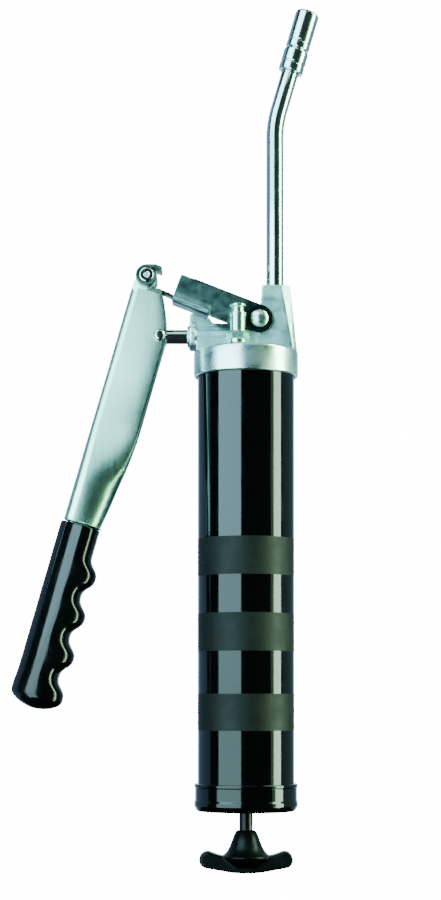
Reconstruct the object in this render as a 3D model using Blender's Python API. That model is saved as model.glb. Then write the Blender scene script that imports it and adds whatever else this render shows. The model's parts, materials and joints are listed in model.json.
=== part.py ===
"""Lever grease gun: cartridge barrel, cast pump head, toggle lever, spout and coupler.

All dimensions below are in millimetres and the mesh helpers turn them into metres.
Frame: the barrel's axis is Z, the open face of the head's collar is z = 0,
X points from the lever towards the outlet, Y runs across the linkage pins.
"""
import math

import bmesh
import bpy
from mathutils import Matrix, Vector

MM = 0.001
GAP = 0.3                # clearance left between neighbouring solids
LARGE_ROUND = 48         # sides of the barrel, its cap and the head
ROUND = 32               # sides of a medium turned part
SMALL_ROUND = 16         # sides of a pin or a small valve part

# Barrel and its end cap
BARREL_R = 28.5
BARREL_WALL = 1.5
BARREL_TOP = 10.8
BARREL_BOTTOM = -252.6
CAP_R = 30.1
CAP_TOP = -239.4
CAP_BOTTOM = -255.5
CAP_FLOOR = 2.2

# Pump head
COLLAR_R = 30.8
COLLAR_HEIGHT = 15.3
CAVITY_DEPTH = 12.5
PUMP_Z = 24.0            # height of the plunger's axis
PUMP_R = 8.0
PUMP_LEFT = -33.6        # face that the plunger comes out of
PUMP_BORE_R = 4.5
GLAND_BORE_R = 6.6
PACKING_LEFT = -27.4
GLAND_BOTTOM_X = -20.0
HEAD_HALF_WIDTH = 8.2
OUTLET_X = 17.1
OUTLET_TOP = 53.3

# Linkage, as (x, z) points in the plane of the barrel's axis
HEAD_PIVOT = (7.8, 33.0)
LINK_PIVOT = (-58.4, 58.6)
PLUNGER_PIVOT = (-51.0, PUMP_Z)
LINK_LENGTH = math.hypot(HEAD_PIVOT[0] - LINK_PIVOT[0], LINK_PIVOT[1] - HEAD_PIVOT[1])
LINK_TILT = math.atan2(LINK_PIVOT[1] - HEAD_PIVOT[1], HEAD_PIVOT[0] - LINK_PIVOT[0])
HEAD_PIN_R = 3.0
LINK_PIN_R = 4.2
PLUNGER_PIN_R = 2.0

# Toggle link
LINK_HALF_WIDTH = 11.0
LINK_SHEET = 2.4
EYE_SHEET = 1.9
EYE_MID_R = 5.4
TONGUE_HALF_WIDTH = 4.2
CHANNEL_START = 19.0     # from the lever pivot
CHANNEL_END = 41.5

# Lever and grip, measured along the lever from its pivot (s) and across it (t)
LEVER_TILT = math.radians(16.2)
LEVER_SHEET = 1.8
LEVER_BACK_T = -6.9
NECK_R = 6.2
GRIP_START = 151.0
GRIP_END = 262.2
GRIP_ROUND_S = 253.6     # where the end begins to close in
GRIP_BACK_T = -8.85
GRIP_CREST_T = 5.0       # where the grip is thickest
FINGER_PITCH = 24.35
FIRST_RIDGE_S = 179.4

# Plunger
PLUNGER_R = 4.25
PLUNGER_TIP = 8.0        # inner end, 0.7 mm short of the outlet at full stroke
EYE_SLOT_HALF = 2.5
EYE_SLOT_LOW = -4.2
EYE_SLOT_HIGH = 6.1

# Spout and coupler
PIPE_R = 5.1
PIPE_BORE_R = 2.4
PIPE_BOTTOM = 39.0
SPOUT_TILT = math.radians(16.5)
BEND_Z = 150.1           # where the two straight runs would meet
BEND_RADIUS = 60.0
COUPLER_START = 31.9     # along the tilted run, from that meeting point
COUPLER_LENGTH = 36.7

# Follower, its spring, the rod and the handle
ROD_R = 4.0
FOLLOWER_TOP = -12.6
FOLLOWER_BOTTOM = -27.0
SPRING_BASE = -252.9
HANDLE_TOP = -266.7
HANDLE_BOTTOM = -292.0

# Vent valve on the deck, in front of the pump
VENT_X = -5.0
VENT_Y = -19.0

MATERIALS = {
    "cast_aluminium": ((0.66, 0.70, 0.70), 0.42, 1.0),
    "black_enamel": ((0.008, 0.010, 0.011), 0.12, 0.0),
    "black_plastic": ((0.012, 0.014, 0.016), 0.22, 0.0),
    "bright_plate": ((0.70, 0.76, 0.72), 0.30, 1.0),
    "chrome": ((0.74, 0.77, 0.77), 0.10, 1.0),
    "dark_plate": ((0.10, 0.17, 0.17), 0.38, 1.0),
    "spring_steel": ((0.42, 0.43, 0.44), 0.30, 1.0),
    "brass": ((0.78, 0.60, 0.28), 0.28, 1.0),
    "seal_rubber": ((0.02, 0.02, 0.02), 0.70, 0.0),
}


def clear_scene():
    for old in list(bpy.data.objects):
        bpy.data.objects.remove(old, do_unlink=True)


def make_material(name):
    colour, roughness, metallic = MATERIALS[name]
    material = bpy.data.materials.new(name)
    material.use_nodes = True
    shader = material.node_tree.nodes["Principled BSDF"]
    shader.inputs["Base Color"].default_value = (*colour, 1.0)
    shader.inputs["Roughness"].default_value = roughness
    shader.inputs["Metallic"].default_value = metallic
    return material


def add_object(name, bm, material=None, location=(0, 0, 0), rotation=(0, 0, 0), parent=None):
    """Link a mesh, given in millimetres, as a named object with its own material."""
    bmesh.ops.transform(bm, matrix=Matrix.Scale(MM, 4), verts=bm.verts)
    bmesh.ops.recalc_face_normals(bm, faces=bm.faces)
    mesh = bpy.data.meshes.new(name)
    bm.to_mesh(mesh)
    bm.free()
    mesh.shade_smooth()
    mesh.set_sharp_from_angle(angle=math.radians(35))
    if material:
        mesh.materials.append(make_material(material))
    obj = bpy.data.objects.new(name, mesh)
    obj.location = [v * MM for v in location]
    obj.rotation_euler = rotation
    obj.parent = parent
    bpy.context.collection.objects.link(obj)
    return obj


def add_pivot(name, location, rotation=(0, 0, 0)):
    empty = bpy.data.objects.new(name, None)
    empty.location = [v * MM for v in location]
    empty.rotation_euler = rotation
    empty.empty_display_size = 0.01
    bpy.context.collection.objects.link(empty)
    return empty


def combine(target, tool, operation, solver):
    """Keep the tool as a hidden operand of a Boolean on the target."""
    tool.hide_render = True
    tool.display_type = "WIRE"
    modifier = target.modifiers.new(tool.name, "BOOLEAN")
    modifier.operation = operation
    modifier.solver = solver
    modifier.object = tool
    return target


def fuse(target, tool, solver="EXACT"):
    return combine(target, tool, "UNION", solver)


def cut(target, tool, solver="EXACT"):
    return combine(target, tool, "DIFFERENCE", solver)


def turned(profile, steps=ROUND):
    """Spin a closed (radius, height) profile about Z."""
    bm = bmesh.new()
    verts = [bm.verts.new((r, 0, z)) for r, z in profile]
    for first, second in zip(verts, verts[1:] + verts[:1]):
        if first.co.x > 0 or second.co.x > 0:
            bm.edges.new((first, second))
    bmesh.ops.spin(bm, geom=bm.verts[:] + bm.edges[:], cent=(0, 0, 0), axis=(0, 0, 1),
                   angle=2 * math.pi, steps=steps, use_merge=False, use_duplicate=False)
    bmesh.ops.remove_doubles(bm, verts=bm.verts, dist=0.0005)
    return bm


def rod(radius, low, high, steps=SMALL_ROUND, chamfer=0.0):
    profile = [(0, low), (radius - chamfer, low)]
    if chamfer:
        profile += [(radius, low + chamfer), (radius, high - chamfer)]
    profile += [(radius - chamfer, high), (0, high)]
    return turned(profile, steps)


def ring(inner, outer, low, high, steps=ROUND, chamfer=0.0):
    profile = [(inner, low), (outer - chamfer, low)]
    if chamfer:
        profile += [(outer, low + chamfer), (outer, high - chamfer)]
    profile += [(outer - chamfer, high), (inner, high)]
    return turned(profile, steps)


def prism(outline, low, high):
    """Extrude an (x, z) outline along Y."""
    bm = bmesh.new()
    face = bm.faces.new([bm.verts.new((x, low, z)) for x, z in outline])
    sweep = bmesh.ops.extrude_face_region(bm, geom=[face])
    moved = [item for item in sweep["geom"] if isinstance(item, bmesh.types.BMVert)]
    bmesh.ops.translate(bm, verts=moved, vec=(0, high - low, 0))
    return bm


def box(low, high):
    outline = [(low[0], low[2]), (high[0], low[2]), (high[0], high[2]), (low[0], high[2])]
    return prism(outline, low[1], high[1])


def loft(rings, closed=False):
    """Join rings of equal point count; end rings are capped, or joined when closed."""
    bm = bmesh.new()
    loops = [[bm.verts.new(point) for point in points] for points in rings]
    pairs = list(zip(loops, loops[1:]))
    if closed:
        pairs.append((loops[-1], loops[0]))
    for here, there in pairs:
        for i in range(len(here)):
            j = (i + 1) % len(here)
            bm.faces.new((here[i], here[j], there[j], there[i]))
    if not closed:
        bm.faces.new(loops[0])
        bm.faces.new(loops[-1])
    return bm


def arc(centre, radius, start, end, count):
    """Points of an (x, z) arc, angles in degrees."""
    points = []
    for i in range(count + 1):
        angle = math.radians(start + (end - start) * i / count)
        points.append((centre[0] + radius * math.cos(angle), centre[1] + radius * math.sin(angle)))
    return points


def strip_outline(path, thickness):
    """Closed outline of a sheet of even thickness whose middle follows an (x, z) path."""
    left = []
    right = []
    for i, (x, z) in enumerate(path):
        before = path[max(i - 1, 0)]
        after = path[min(i + 1, len(path) - 1)]
        run = Vector((after[0] - before[0], after[1] - before[1])).normalized()
        left.append((x - run.y * thickness / 2, z + run.x * thickness / 2))
        right.append((x + run.y * thickness / 2, z - run.x * thickness / 2))
    return left + right[::-1]


def helix(radius, wire, low, high, turns, per_turn=10, sides=5):
    """Compression spring: a coil whose wire centres run from low to high."""
    rings = []
    steps = int(turns * per_turn)
    rise = (high - low) / steps
    for i in range(steps + 1):
        angle = 2 * math.pi * i / per_turn
        out = Vector((math.cos(angle), math.sin(angle), 0))
        centre = out * radius + Vector((0, 0, low + rise * i))
        points = []
        for k in range(sides):
            turn = 2 * math.pi * k / sides
            points.append(centre + out * wire * math.cos(turn) + Vector((0, 0, wire * math.sin(turn))))
        rings.append(points)
    return loft(rings)


def blend(low, high, value):
    """Smooth step from 0 at low to 1 at high."""
    x = min(max((value - low) / (high - low), 0.0), 1.0)
    return x * x * (3 - 2 * x)


# ---------------------------------------------------------------- pump head

def boss_section(height):
    """Six-sided plan of the outlet boss, which narrows towards the pipe."""
    rise = (OUTLET_TOP - height) / (OUTLET_TOP - 13.0)
    half = HEAD_HALF_WIDTH
    left = 9.4 - 3.4 * rise
    ridge = 20.6 + 7.2 * rise
    right = 26.0 + 4.3 * rise
    corner = 4.4
    return [(left, -half, height), (ridge, -half, height), (right, -corner, height),
            (right, corner, height), (ridge, half, height), (left, half, height)]


def build_head():
    body = add_object("pump_head", turned([
        (0, CAVITY_DEPTH), (BARREL_R + GAP, CAVITY_DEPTH), (BARREL_R + GAP, 0), (COLLAR_R - 0.8, 0),
        (COLLAR_R, 0.8), (COLLAR_R, COLLAR_HEIGHT - 1.2), (COLLAR_R - 1.2, COLLAR_HEIGHT),
        (0, COLLAR_HEIGHT)], LARGE_ROUND), "cast_aluminium")
    across = (0, math.radians(90), 0)
    pump = add_object("head_pump_barrel", rod(PUMP_R, PUMP_LEFT + 4, 20, ROUND),
                      location=(0, 0, PUMP_Z), rotation=across)
    collar = add_object("head_gland_collar", rod(PUMP_R + 0.4, PUMP_LEFT, PUMP_LEFT + 4.6, ROUND, 0.9),
                        location=(0, 0, PUMP_Z), rotation=across)
    web = add_object("head_web", box((PUMP_LEFT + 4.3, -PUMP_R + 0.4, 14),
                                     (18, PUMP_R - 0.4, PUMP_Z - 1.7)))
    rib = add_object("head_rib", box((PUMP_LEFT + 4.1, -HEAD_HALF_WIDTH - 0.3, PUMP_Z - 0.8),
                                     (3, HEAD_HALF_WIDTH + 0.3, PUMP_Z + 2.4)))
    lug_outline = [(PUMP_LEFT + 0.3, 25), (PUMP_LEFT + 0.3, 35.8), (PUMP_LEFT + 1.6, 37.2), (-22.6, 33.8)]
    lug_outline += arc((-17.5, 34.6), 3.8, 180, 262, 6)
    lug_outline += [(-17.5, 25)]
    lug = add_object("head_stop_lug", prism(lug_outline, -6.0, 6.0))
    pivot_outline = arc(HEAD_PIVOT, HEAD_HALF_WIDTH, -8, 188, 16) + [(-5.5, 14), (22, 14)]
    tower = add_object("head_pivot_tower", prism(pivot_outline, -HEAD_HALF_WIDTH + 0.1,
                                                 HEAD_HALF_WIDTH - 0.1))
    boss = add_object("head_outlet_boss", loft([boss_section(13.0), boss_section(OUTLET_TOP - 1.0),
                                                inset_ring(boss_section(OUTLET_TOP), 0.8)]))
    for piece in (pump, collar, web, rib, lug, tower, boss):
        fuse(body, piece, "MANIFOLD")
    bore = add_object("cut_pump_bore", rod(PUMP_BORE_R, GLAND_BOTTOM_X - 1, OUTLET_X, 24),
                      location=(0, 0, PUMP_Z), rotation=across)
    gland = add_object("cut_gland_bore", rod(GLAND_BORE_R, PUMP_LEFT - 2, GLAND_BOTTOM_X, 24),
                       location=(0, 0, PUMP_Z), rotation=across)
    outlet = add_object("cut_outlet", turned([
        (0, PUMP_Z), (PUMP_BORE_R - 0.3, PUMP_Z), (PUMP_BORE_R - 0.3, PIPE_BOTTOM - GAP),
        (PIPE_R + GAP, PIPE_BOTTOM - GAP), (PIPE_R + GAP, OUTLET_TOP + 2), (0, OUTLET_TOP + 2)], 20),
        location=(OUTLET_X, 0, 0))
    inlet = add_object("cut_inlet", rod(2.5, CAVITY_DEPTH - 2, PUMP_Z, 12), location=(-12, 0, 0))
    vent = add_object("cut_vent", rod(3.4, CAVITY_DEPTH - 2, COLLAR_HEIGHT + 2),
                      location=(VENT_X, VENT_Y, 0))
    pivot = add_object("cut_head_pivot", rod(HEAD_PIN_R + 0.2, -20, 20, 18),
                       location=(HEAD_PIVOT[0], 0, HEAD_PIVOT[1]), rotation=(math.radians(90), 0, 0))
    for tool in (bore, gland, outlet, inlet, vent, pivot):
        cut(body, tool, "MANIFOLD")


def inset_ring(points, amount):
    """Pull a section's points towards their middle."""
    middle = sum((Vector(p) for p in points), Vector()) / len(points)
    result = []
    for point in points:
        inward = middle - Vector(point)
        result.append(tuple(Vector(point) + inward.normalized() * amount))
    return result


def build_gland():
    across = (0, math.radians(90), 0)
    place = (0, 0, PUMP_Z)
    outer = GLAND_BORE_R - GAP
    nut = turned([(PUMP_BORE_R, PUMP_LEFT - 1.0), (outer - 0.6, PUMP_LEFT - 1.0),
                  (outer, PUMP_LEFT - 0.4), (outer, PACKING_LEFT - GAP),
                  (PUMP_BORE_R, PACKING_LEFT - GAP)], 24)
    add_object("gland_nut", nut, "bright_plate", place, across)
    packing = ring(PUMP_BORE_R, outer, PACKING_LEFT, GLAND_BOTTOM_X - GAP, 24)
    add_object("gland_packing", packing, "seal_rubber", place, across)


def build_check_valve():
    place = (OUTLET_X, 0, 0)
    outer = PUMP_BORE_R - 0.6
    seat = turned([(1.9, 28.4), (outer, 28.4), (outer, 31.0), (2.6, 31.0), (1.9, 30.2)], SMALL_ROUND)
    add_object("check_valve_seat", seat, "brass", place)
    bm = bmesh.new()
    bmesh.ops.create_uvsphere(bm, u_segments=14, v_segments=8, radius=2.75)
    add_object("check_valve_ball", bm, "chrome", (OUTLET_X, 0, 32.45))
    add_object("check_valve_spring", helix(2.9, 0.35, 35.6, 38.1, 2.5), "spring_steel", place)


def build_vent():
    place = (VENT_X, VENT_Y, 0)
    body = turned([
        (2.2, 13.0), (3.1, 13.0), (3.1, COLLAR_HEIGHT + 1.4), (5.2, COLLAR_HEIGHT + 1.4), (5.2, 19.2),
        (4.8, 23.0), (4.8, 34.6), (3.9, 34.6), (3.9, 26.0), (2.2, 26.0)], 20)
    valve = add_object("vent_valve_body", body, "bright_plate", place)
    hexagon = turned([(3.0, 18.6), (6.0, 18.6), (6.4, 19.0), (6.4, 22.6), (6.0, 23.0), (3.0, 23.0)], 6)
    fuse(valve, add_object("vent_hexagon", hexagon, location=place))
    washer = ring(3.4, 5.6, COLLAR_HEIGHT + GAP, COLLAR_HEIGHT + 1.1, 20)
    add_object("vent_washer", washer, "brass", place)
    stem = turned([
        (0, 10.4), (2.6, 10.4), (2.6, 11.8), (1.8, 12.6), (1.8, 33.0), (3.6, 33.0), (3.6, 38.2),
        (4.8, 38.2), (4.8, 39.5), (0, 39.5)], 20)
    add_object("vent_valve_stem", stem, "bright_plate", place)
    add_object("vent_valve_spring", helix(2.8, 0.4, 26.7, 32.3, 5), "spring_steel", place)


# ---------------------------------------------------------------- barrel, follower and handle

def build_barrel():
    tube = ring(BARREL_R - BARREL_WALL, BARREL_R, BARREL_BOTTOM, BARREL_TOP, LARGE_ROUND)
    add_object("grease_barrel", tube, "black_enamel")
    gasket = ring(24.6, 28.4, BARREL_TOP + GAP, CAVITY_DEPTH - GAP, LARGE_ROUND)
    add_object("head_gasket", gasket, "seal_rubber")
    inner = BARREL_R + GAP
    cap = turned([
        (6.3, CAP_BOTTOM), (CAP_R - 2.0, CAP_BOTTOM), (CAP_R, CAP_BOTTOM + 1.4),
        (CAP_R + 0.5, CAP_BOTTOM + 3.2), (CAP_R + 0.5, CAP_BOTTOM + 5.6), (CAP_R, CAP_BOTTOM + 6.8),
        (CAP_R, CAP_TOP - 1.6), (CAP_R + 0.4, CAP_TOP - 1.2), (CAP_R + 0.4, CAP_TOP),
        (inner, CAP_TOP), (inner, CAP_BOTTOM + CAP_FLOOR), (6.3, CAP_BOTTOM + CAP_FLOOR)], LARGE_ROUND)
    add_object("barrel_end_cap", cap, "black_enamel")
    bush = turned([
        (ROD_R + GAP, CAP_BOTTOM - 0.6), (6.0, CAP_BOTTOM - 0.6), (6.0, SPRING_BASE - 0.1),
        (8.6, SPRING_BASE - 0.1), (8.6, SPRING_BASE + 1.6), (ROD_R + GAP, SPRING_BASE + 1.6)], 20)
    add_object("rod_guide_bush", bush, "black_plastic")


def build_follower():
    bore = ROD_R + GAP
    cup = turned([
        (bore, FOLLOWER_BOTTOM + 2.0), (24.0, FOLLOWER_BOTTOM + 2.0), (26.7, FOLLOWER_BOTTOM + 4.0),
        (26.7, FOLLOWER_TOP), (25.0, FOLLOWER_TOP), (24.2, FOLLOWER_TOP - 6.0),
        (22.0, FOLLOWER_TOP - 8.0), (bore, FOLLOWER_TOP - 8.0)])
    add_object("follower_cup", cup, "seal_rubber")
    lower = ring(bore, 23.0, FOLLOWER_BOTTOM, FOLLOWER_BOTTOM + 1.7)
    add_object("follower_lower_plate", lower, "bright_plate")
    upper = ring(bore, 20.0, FOLLOWER_TOP - 7.7, FOLLOWER_TOP - 6.2)
    add_object("follower_upper_plate", upper, "bright_plate")
    spring = helix(20.0, 1.25, SPRING_BASE + 1.3, FOLLOWER_BOTTOM - GAP - 1.3, 13, 12)
    add_object("follower_spring", spring, "spring_steel")


def build_rod():
    bottom = HANDLE_TOP - 14.5
    top = FOLLOWER_TOP + 0.4
    groove = FOLLOWER_BOTTOM - 6
    shaft = turned([
        (0, bottom), (ROD_R, bottom), (ROD_R, groove - 2.5), (ROD_R - 0.9, groove - 2.0),
        (ROD_R - 0.9, groove), (ROD_R, groove + 0.5), (ROD_R, top), (0, top)], 20)
    rod_object = add_object("follower_rod", shaft, "black_enamel")
    across = (0, math.radians(90), 0)
    pin_place = (0, 0, HANDLE_TOP - 6)
    hole = add_object("cut_rod_pin", rod(1.8, -12, 12, 12), location=pin_place, rotation=across)
    cut(rod_object, hole)
    nut = add_object("follower_nut", rod(7.5, FOLLOWER_TOP - 5.9, FOLLOWER_TOP - 0.9, 6), "bright_plate")
    cut(nut, add_object("cut_nut_bore", rod(ROD_R + GAP, FOLLOWER_TOP - 9, FOLLOWER_TOP + 2, 20)))
    pin = rod(1.5, -7.4, 7.4, 12, 0.3)
    add_object("handle_pin", pin, "spring_steel", pin_place, across)


def handle_outline():
    """Front view of the handle's wings: raised rounded tips over a curved lower edge."""
    upper = [(-12.0, -281.2), (-15.2, -280.9), (-18.4, -280.2)]
    tip = arc((-22.6, -284.0), 5.0, 75, 250, 9)
    lower = []
    for i in range(7):
        x = -17 + 34 * i / 6
        lower.append((x, HANDLE_BOTTOM + 3.4 * (x / 22) ** 2))
    right_tip = [(-x, z) for x, z in reversed(tip)]
    right_upper = [(-x, z) for x, z in reversed(upper)]
    return upper + tip + lower + right_tip + right_upper


def build_handle():
    hub = turned([
        (0, HANDLE_BOTTOM + 3), (8, HANDLE_BOTTOM + 3), (12.6, -281.6), (9.9, -275.2), (7.8, -271.6),
        (6.6, HANDLE_TOP - 1.0), (5.9, HANDLE_TOP), (0, HANDLE_TOP)], 24)
    handle = add_object("t_handle", hub, "black_plastic")
    wings = add_object("handle_wings", prism(handle_outline(), -6.5, 6.5))
    softened = wings.modifiers.new("rounding", "BEVEL")
    softened.width = 3.2 * MM
    softened.segments = 2
    softened.angle_limit = math.radians(60)
    fuse(handle, wings)
    socket = add_object("cut_handle_socket", rod(ROD_R + GAP, HANDLE_TOP - 14.9, HANDLE_TOP + 2, 20))
    across = (0, math.radians(90), 0)
    hole = add_object("cut_handle_pin", rod(1.8, -12, 12, 12), location=(0, 0, HANDLE_TOP - 6),
                      rotation=across)
    cut(handle, socket)
    cut(handle, hole)


# ---------------------------------------------------------------- toggle link and its pins

def channel_section(along):
    """Middle line of the link's U section at one distance from the lever pivot."""
    half = LINK_HALF_WIDTH
    radius = 6.0
    points = [(half, 8.3)]
    for i in range(5):
        angle = math.radians(90 * i / 4)
        points.append((half - radius + radius * math.cos(angle), -2.4 - radius * math.sin(angle)))
    points += [(-y, v) for y, v in reversed(points)]
    return [(along - LINK_LENGTH, y, v) for y, v in points]


def build_link(pivot):
    sections = [channel_section(along) for along in (CHANNEL_START, CHANNEL_END)]
    link = add_object("toggle_link", sheet_solid(sections, LINK_SHEET), "dark_plate", parent=pivot)
    ear = arc((0, 0), 8.0, 88, -95, 14)
    shift = -LINK_LENGTH
    for side, low, name in ((-1, -9.3, "link_front_plate"), (1, -5.6, "link_rear_plate")):
        lower = [(-14.0, low), (43.5 + shift, low), (42.0 + shift, low + 1.3), (41.2 + shift, -2.2),
                 (CHANNEL_START + 8 + shift, -2.2), (CHANNEL_START + 8 + shift, 8.2)]
        inner = side * (LINK_HALF_WIDTH - LINK_SHEET + 0.05)
        outer = side * (LINK_HALF_WIDTH - 0.05)
        plate = prism(ear + lower, min(inner, outer), max(inner, outer))
        fuse(link, add_object(name, plate, parent=pivot))
    tongue, eye, tail = eye_paths()
    strip = prism(strip_outline(tongue + eye + tail, EYE_SHEET), -TONGUE_HALF_WIDTH, TONGUE_HALF_WIDTH)
    fuse(link, add_object("link_tongue", strip, parent=pivot))
    wrap = arc((-LINK_LENGTH, 0), EYE_MID_R, 12, -84, 6)
    for side, name in ((-1, "link_front_knuckle"), (1, "link_rear_knuckle")):
        ends = sorted((side * 6.95, side * (LINK_HALF_WIDTH - 0.1)))
        knuckle = prism(strip_outline(wrap + eye + tail[:2], EYE_SHEET), ends[0], ends[1])
        fuse(link, add_object(name, knuckle, parent=pivot))
    bridge = prism(strip_outline(tail, EYE_SHEET - 0.1), -LINK_HALF_WIDTH + 1.5, LINK_HALF_WIDTH - 1.5)
    fuse(link, add_object("link_knuckle_bridge", bridge, parent=pivot))
    hole = add_object("cut_link_pivot", rod(HEAD_PIN_R + 0.25, -20, 20, 18), parent=pivot,
                      rotation=(math.radians(90), 0, 0))
    cut(link, hole, "MANIFOLD")


def eye_paths():
    """Middle lines of the tongue, of the rolled eye round the lever pivot, and of its tail."""
    shift = -LINK_LENGTH
    web = -8.4 + LINK_SHEET / 2
    tongue = [(CHANNEL_START + 6 + shift, web), (CHANNEL_START + 1.5 + shift, -5.9),
              (CHANNEL_START - 1.5 + shift, -4.7), (12 + shift, -4.5), (7 + shift, -4.9),
              (3 + shift, -EYE_MID_R + 0.05)]
    leave = 90 + math.degrees(LINK_TILT)
    eye = arc((shift, 0), EYE_MID_R, -90, leave - 360, 18)
    level = Vector((math.cos(LINK_TILT), math.sin(LINK_TILT)))
    top = Vector(eye[-1])
    droop = LINK_TILT - math.radians(22)
    tail = [top + level * 4.9, top + level * 6.2]
    tail.append(tail[-1] + Vector((math.cos(droop), math.sin(droop))) * 3.0)
    return tongue, eye, [tuple(point) for point in tail]


def sheet_solid(sections, thickness):
    """Closed solid of a sheet: outer rows, then the same rows moved inwards."""
    rings = []
    for line in sections:
        inner = []
        for i, point in enumerate(line):
            before = Vector(line[max(i - 1, 0)])
            after = Vector(line[min(i + 1, len(line) - 1)])
            run = (after - before).normalized()
            inner.append(Vector(point) + Vector((0, -run.z, run.y)) * -thickness)
        rings.append([Vector(p) for p in line] + inner[::-1])
    return loft(rings)


def build_pins():
    facing = (math.radians(90), 0, 0)
    head_place = (HEAD_PIVOT[0], 0, HEAD_PIVOT[1])
    front = LINK_HALF_WIDTH + GAP
    pin = turned([
        (0, -13.4), (HEAD_PIN_R - 0.4, -13.4), (HEAD_PIN_R, -13.0), (HEAD_PIN_R, front),
        (5.0, front), (5.15, front + 0.3), (5.15, front + 1.6), (4.6, front + 2.4), (3.0, front + 2.9),
        (0, front + 3.1)], 20)
    add_object("head_pivot_pin", pin, "chrome", head_place, facing)
    clip = ring(HEAD_PIN_R + GAP, 5.2, -12.6, -11.4, 18)
    add_object("pivot_clip", clip, "spring_steel", head_place, facing)
    link_pin = ring(1.35, LINK_PIN_R, -11.6, 11.6, 20, 0.4)
    add_object("link_pin", link_pin, "chrome", (LINK_PIVOT[0], 0, LINK_PIVOT[1]), facing)
    plunger_pin = turned([
        (0, -7.9), (2.6, -7.9), (3.0, -7.5), (3.0, -6.9), (PLUNGER_PIN_R, -6.9), (PLUNGER_PIN_R, 6.9),
        (3.4, 6.9), (3.5, 7.5), (2.7, 8.4), (0, 8.7)], SMALL_ROUND)
    add_object("plunger_pin", plunger_pin, "chrome", (PLUNGER_PIVOT[0], 0, PLUNGER_PIVOT[1]), facing)


# ---------------------------------------------------------------- lever and grip

def lever_edges(s):
    """Back edge, front edge and half width of the lever's channel at a distance s."""
    if s < 37.4:
        front = 12.2 + 8.95 * math.sin(math.pi / 2 * (s - 8) / 29.4)
    else:
        front = 21.15 - 6.1 * max((s - 80) / 70, 0) ** 2.2
    half = 6.6 + 3.8 * blend(60, 135, s)
    hidden = blend(149.6, 150.8, s)
    back = LEVER_BACK_T + 2.0 * hidden
    front += (9.4 - front) * hidden
    half += (6.0 - half) * hidden
    return back, front, half


def lever_section(s):
    """Outer line of the lever's channel, whose cheeks roll in towards the grip."""
    back, front, half = lever_edges(s)
    rolling = blend(88, 126, s) * (1 - blend(148.6, 149.6, s))
    radius = 4.2 + 1.3 * rolling
    power = 7.0 - 5.6 * rolling
    steps = 6
    cheek = [(0.0, 0.0)]
    for i in range(steps):
        turn = math.radians(3 * rolling + (8 + 47 * rolling) * ((i + 0.5) / steps) ** power)
        cheek.append((cheek[-1][0] + math.cos(turn), cheek[-1][1] + math.sin(turn)))
    start = back + radius
    scale = (front - start) / cheek[-1][0]
    points = [(start + t * scale, half - y * scale) for t, y in reversed(cheek)]
    points += arc((start, half - radius), radius, 90, 180, 3)[1:]
    points += [(t, -y) for t, y in reversed(points)]
    return [(t, y, -s) for t, y in points]


def lever_solid(stations):
    rings = []
    for s in stations:
        line = [Vector(point) for point in lever_section(s)]
        inner = []
        for i, point in enumerate(line):
            run = (line[min(i + 1, len(line) - 1)] - line[max(i - 1, 0)]).normalized()
            inner.append(point + Vector((-run.y, run.x, 0)) * LEVER_SHEET)
        rings.append(line + inner[::-1])
    return loft(rings)


def build_lever(pivot):
    stations = [8, 12, 16, 20, 25, 31, 37.4, 45, 57, 70, 82, 94, 106, 118, 132]
    stations += [140, 148, 149.2, 150, 150.8, 205]
    lever = add_object("lever_arm", lever_solid(stations), "bright_plate", parent=pivot)
    neck = arc((0, 0), NECK_R, 200, -45, 14)
    neck += [(4.6, -5.9), (10.1, -4.4), (12.3, -8.6), (12.3, -22), (-1.0, -22), (-1.6, -12.5),
             (LEVER_BACK_T + 0.4, -9)]
    for side, name in ((-1, "lever_front_neck"), (1, "lever_rear_neck")):
        ends = sorted((side * 4.85, side * 6.5))
        plate = prism(neck, ends[0], ends[1])
        fuse(lever, add_object(name, plate, parent=pivot))
    facing = (math.radians(90), 0, 0)
    top_hole = add_object("cut_lever_pivot", rod(LINK_PIN_R + 0.25, -20, 20, 20), parent=pivot,
                          rotation=facing)
    offset = Vector((PLUNGER_PIVOT[0] - LINK_PIVOT[0], PLUNGER_PIVOT[1] - LINK_PIVOT[1]))
    across = offset.x * math.cos(LEVER_TILT) - offset.y * math.sin(LEVER_TILT)
    along = offset.x * math.sin(LEVER_TILT) + offset.y * math.cos(LEVER_TILT)
    low_hole = add_object("cut_lever_plunger", rod(PLUNGER_PIN_R + 0.25, -20, 20, 14), parent=pivot,
                          location=(across, 0, along), rotation=facing)
    cut(lever, top_hole)
    cut(lever, low_hole)


def grip_front(s):
    """Front edge of the grip with its four finger ridges."""
    first = FIRST_RIDGE_S
    last = FIRST_RIDGE_S + 3 * FINGER_PITCH
    base = 15.3 + 0.016 * max(s - first, 0)
    if s < first - FINGER_PITCH / 2:
        return base
    wave = math.cos(2 * math.pi * (min(s, last) - first) / FINGER_PITCH)
    return base + 5.7 * (0.5 + 0.5 * wave * (1.25 - 0.25 * wave * wave))


def grip_ring(s, sides=20):
    back = GRIP_BACK_T - 0.7 * blend(240, 252, s)
    front = grip_front(s)
    half = 11.6 + 1.0 * blend(160, 240, s)
    shrink = 1.0
    if s > GRIP_ROUND_S:
        shrink = max(1 - ((s - GRIP_ROUND_S) / (GRIP_END - GRIP_ROUND_S)) ** 2, 0.03) ** 0.6
    if s < GRIP_START + 1.5:
        shrink = 0.94 + 0.04 * (s - GRIP_START)
    centre = (back + front) / 2
    points = []
    for i in range(sides):
        angle = 2 * math.pi * i / sides
        c = math.cos(angle)
        n = math.sin(angle)
        if c > 0:
            t = GRIP_CREST_T + (front - GRIP_CREST_T) * c
            y = n
        else:
            t = GRIP_CREST_T - (GRIP_CREST_T - back) * abs(c) ** 1.33
            y = math.copysign(abs(n) ** 1.33, n)
        points.append((centre + (t - centre) * shrink, half * shrink * y, -s))
    return points


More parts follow.
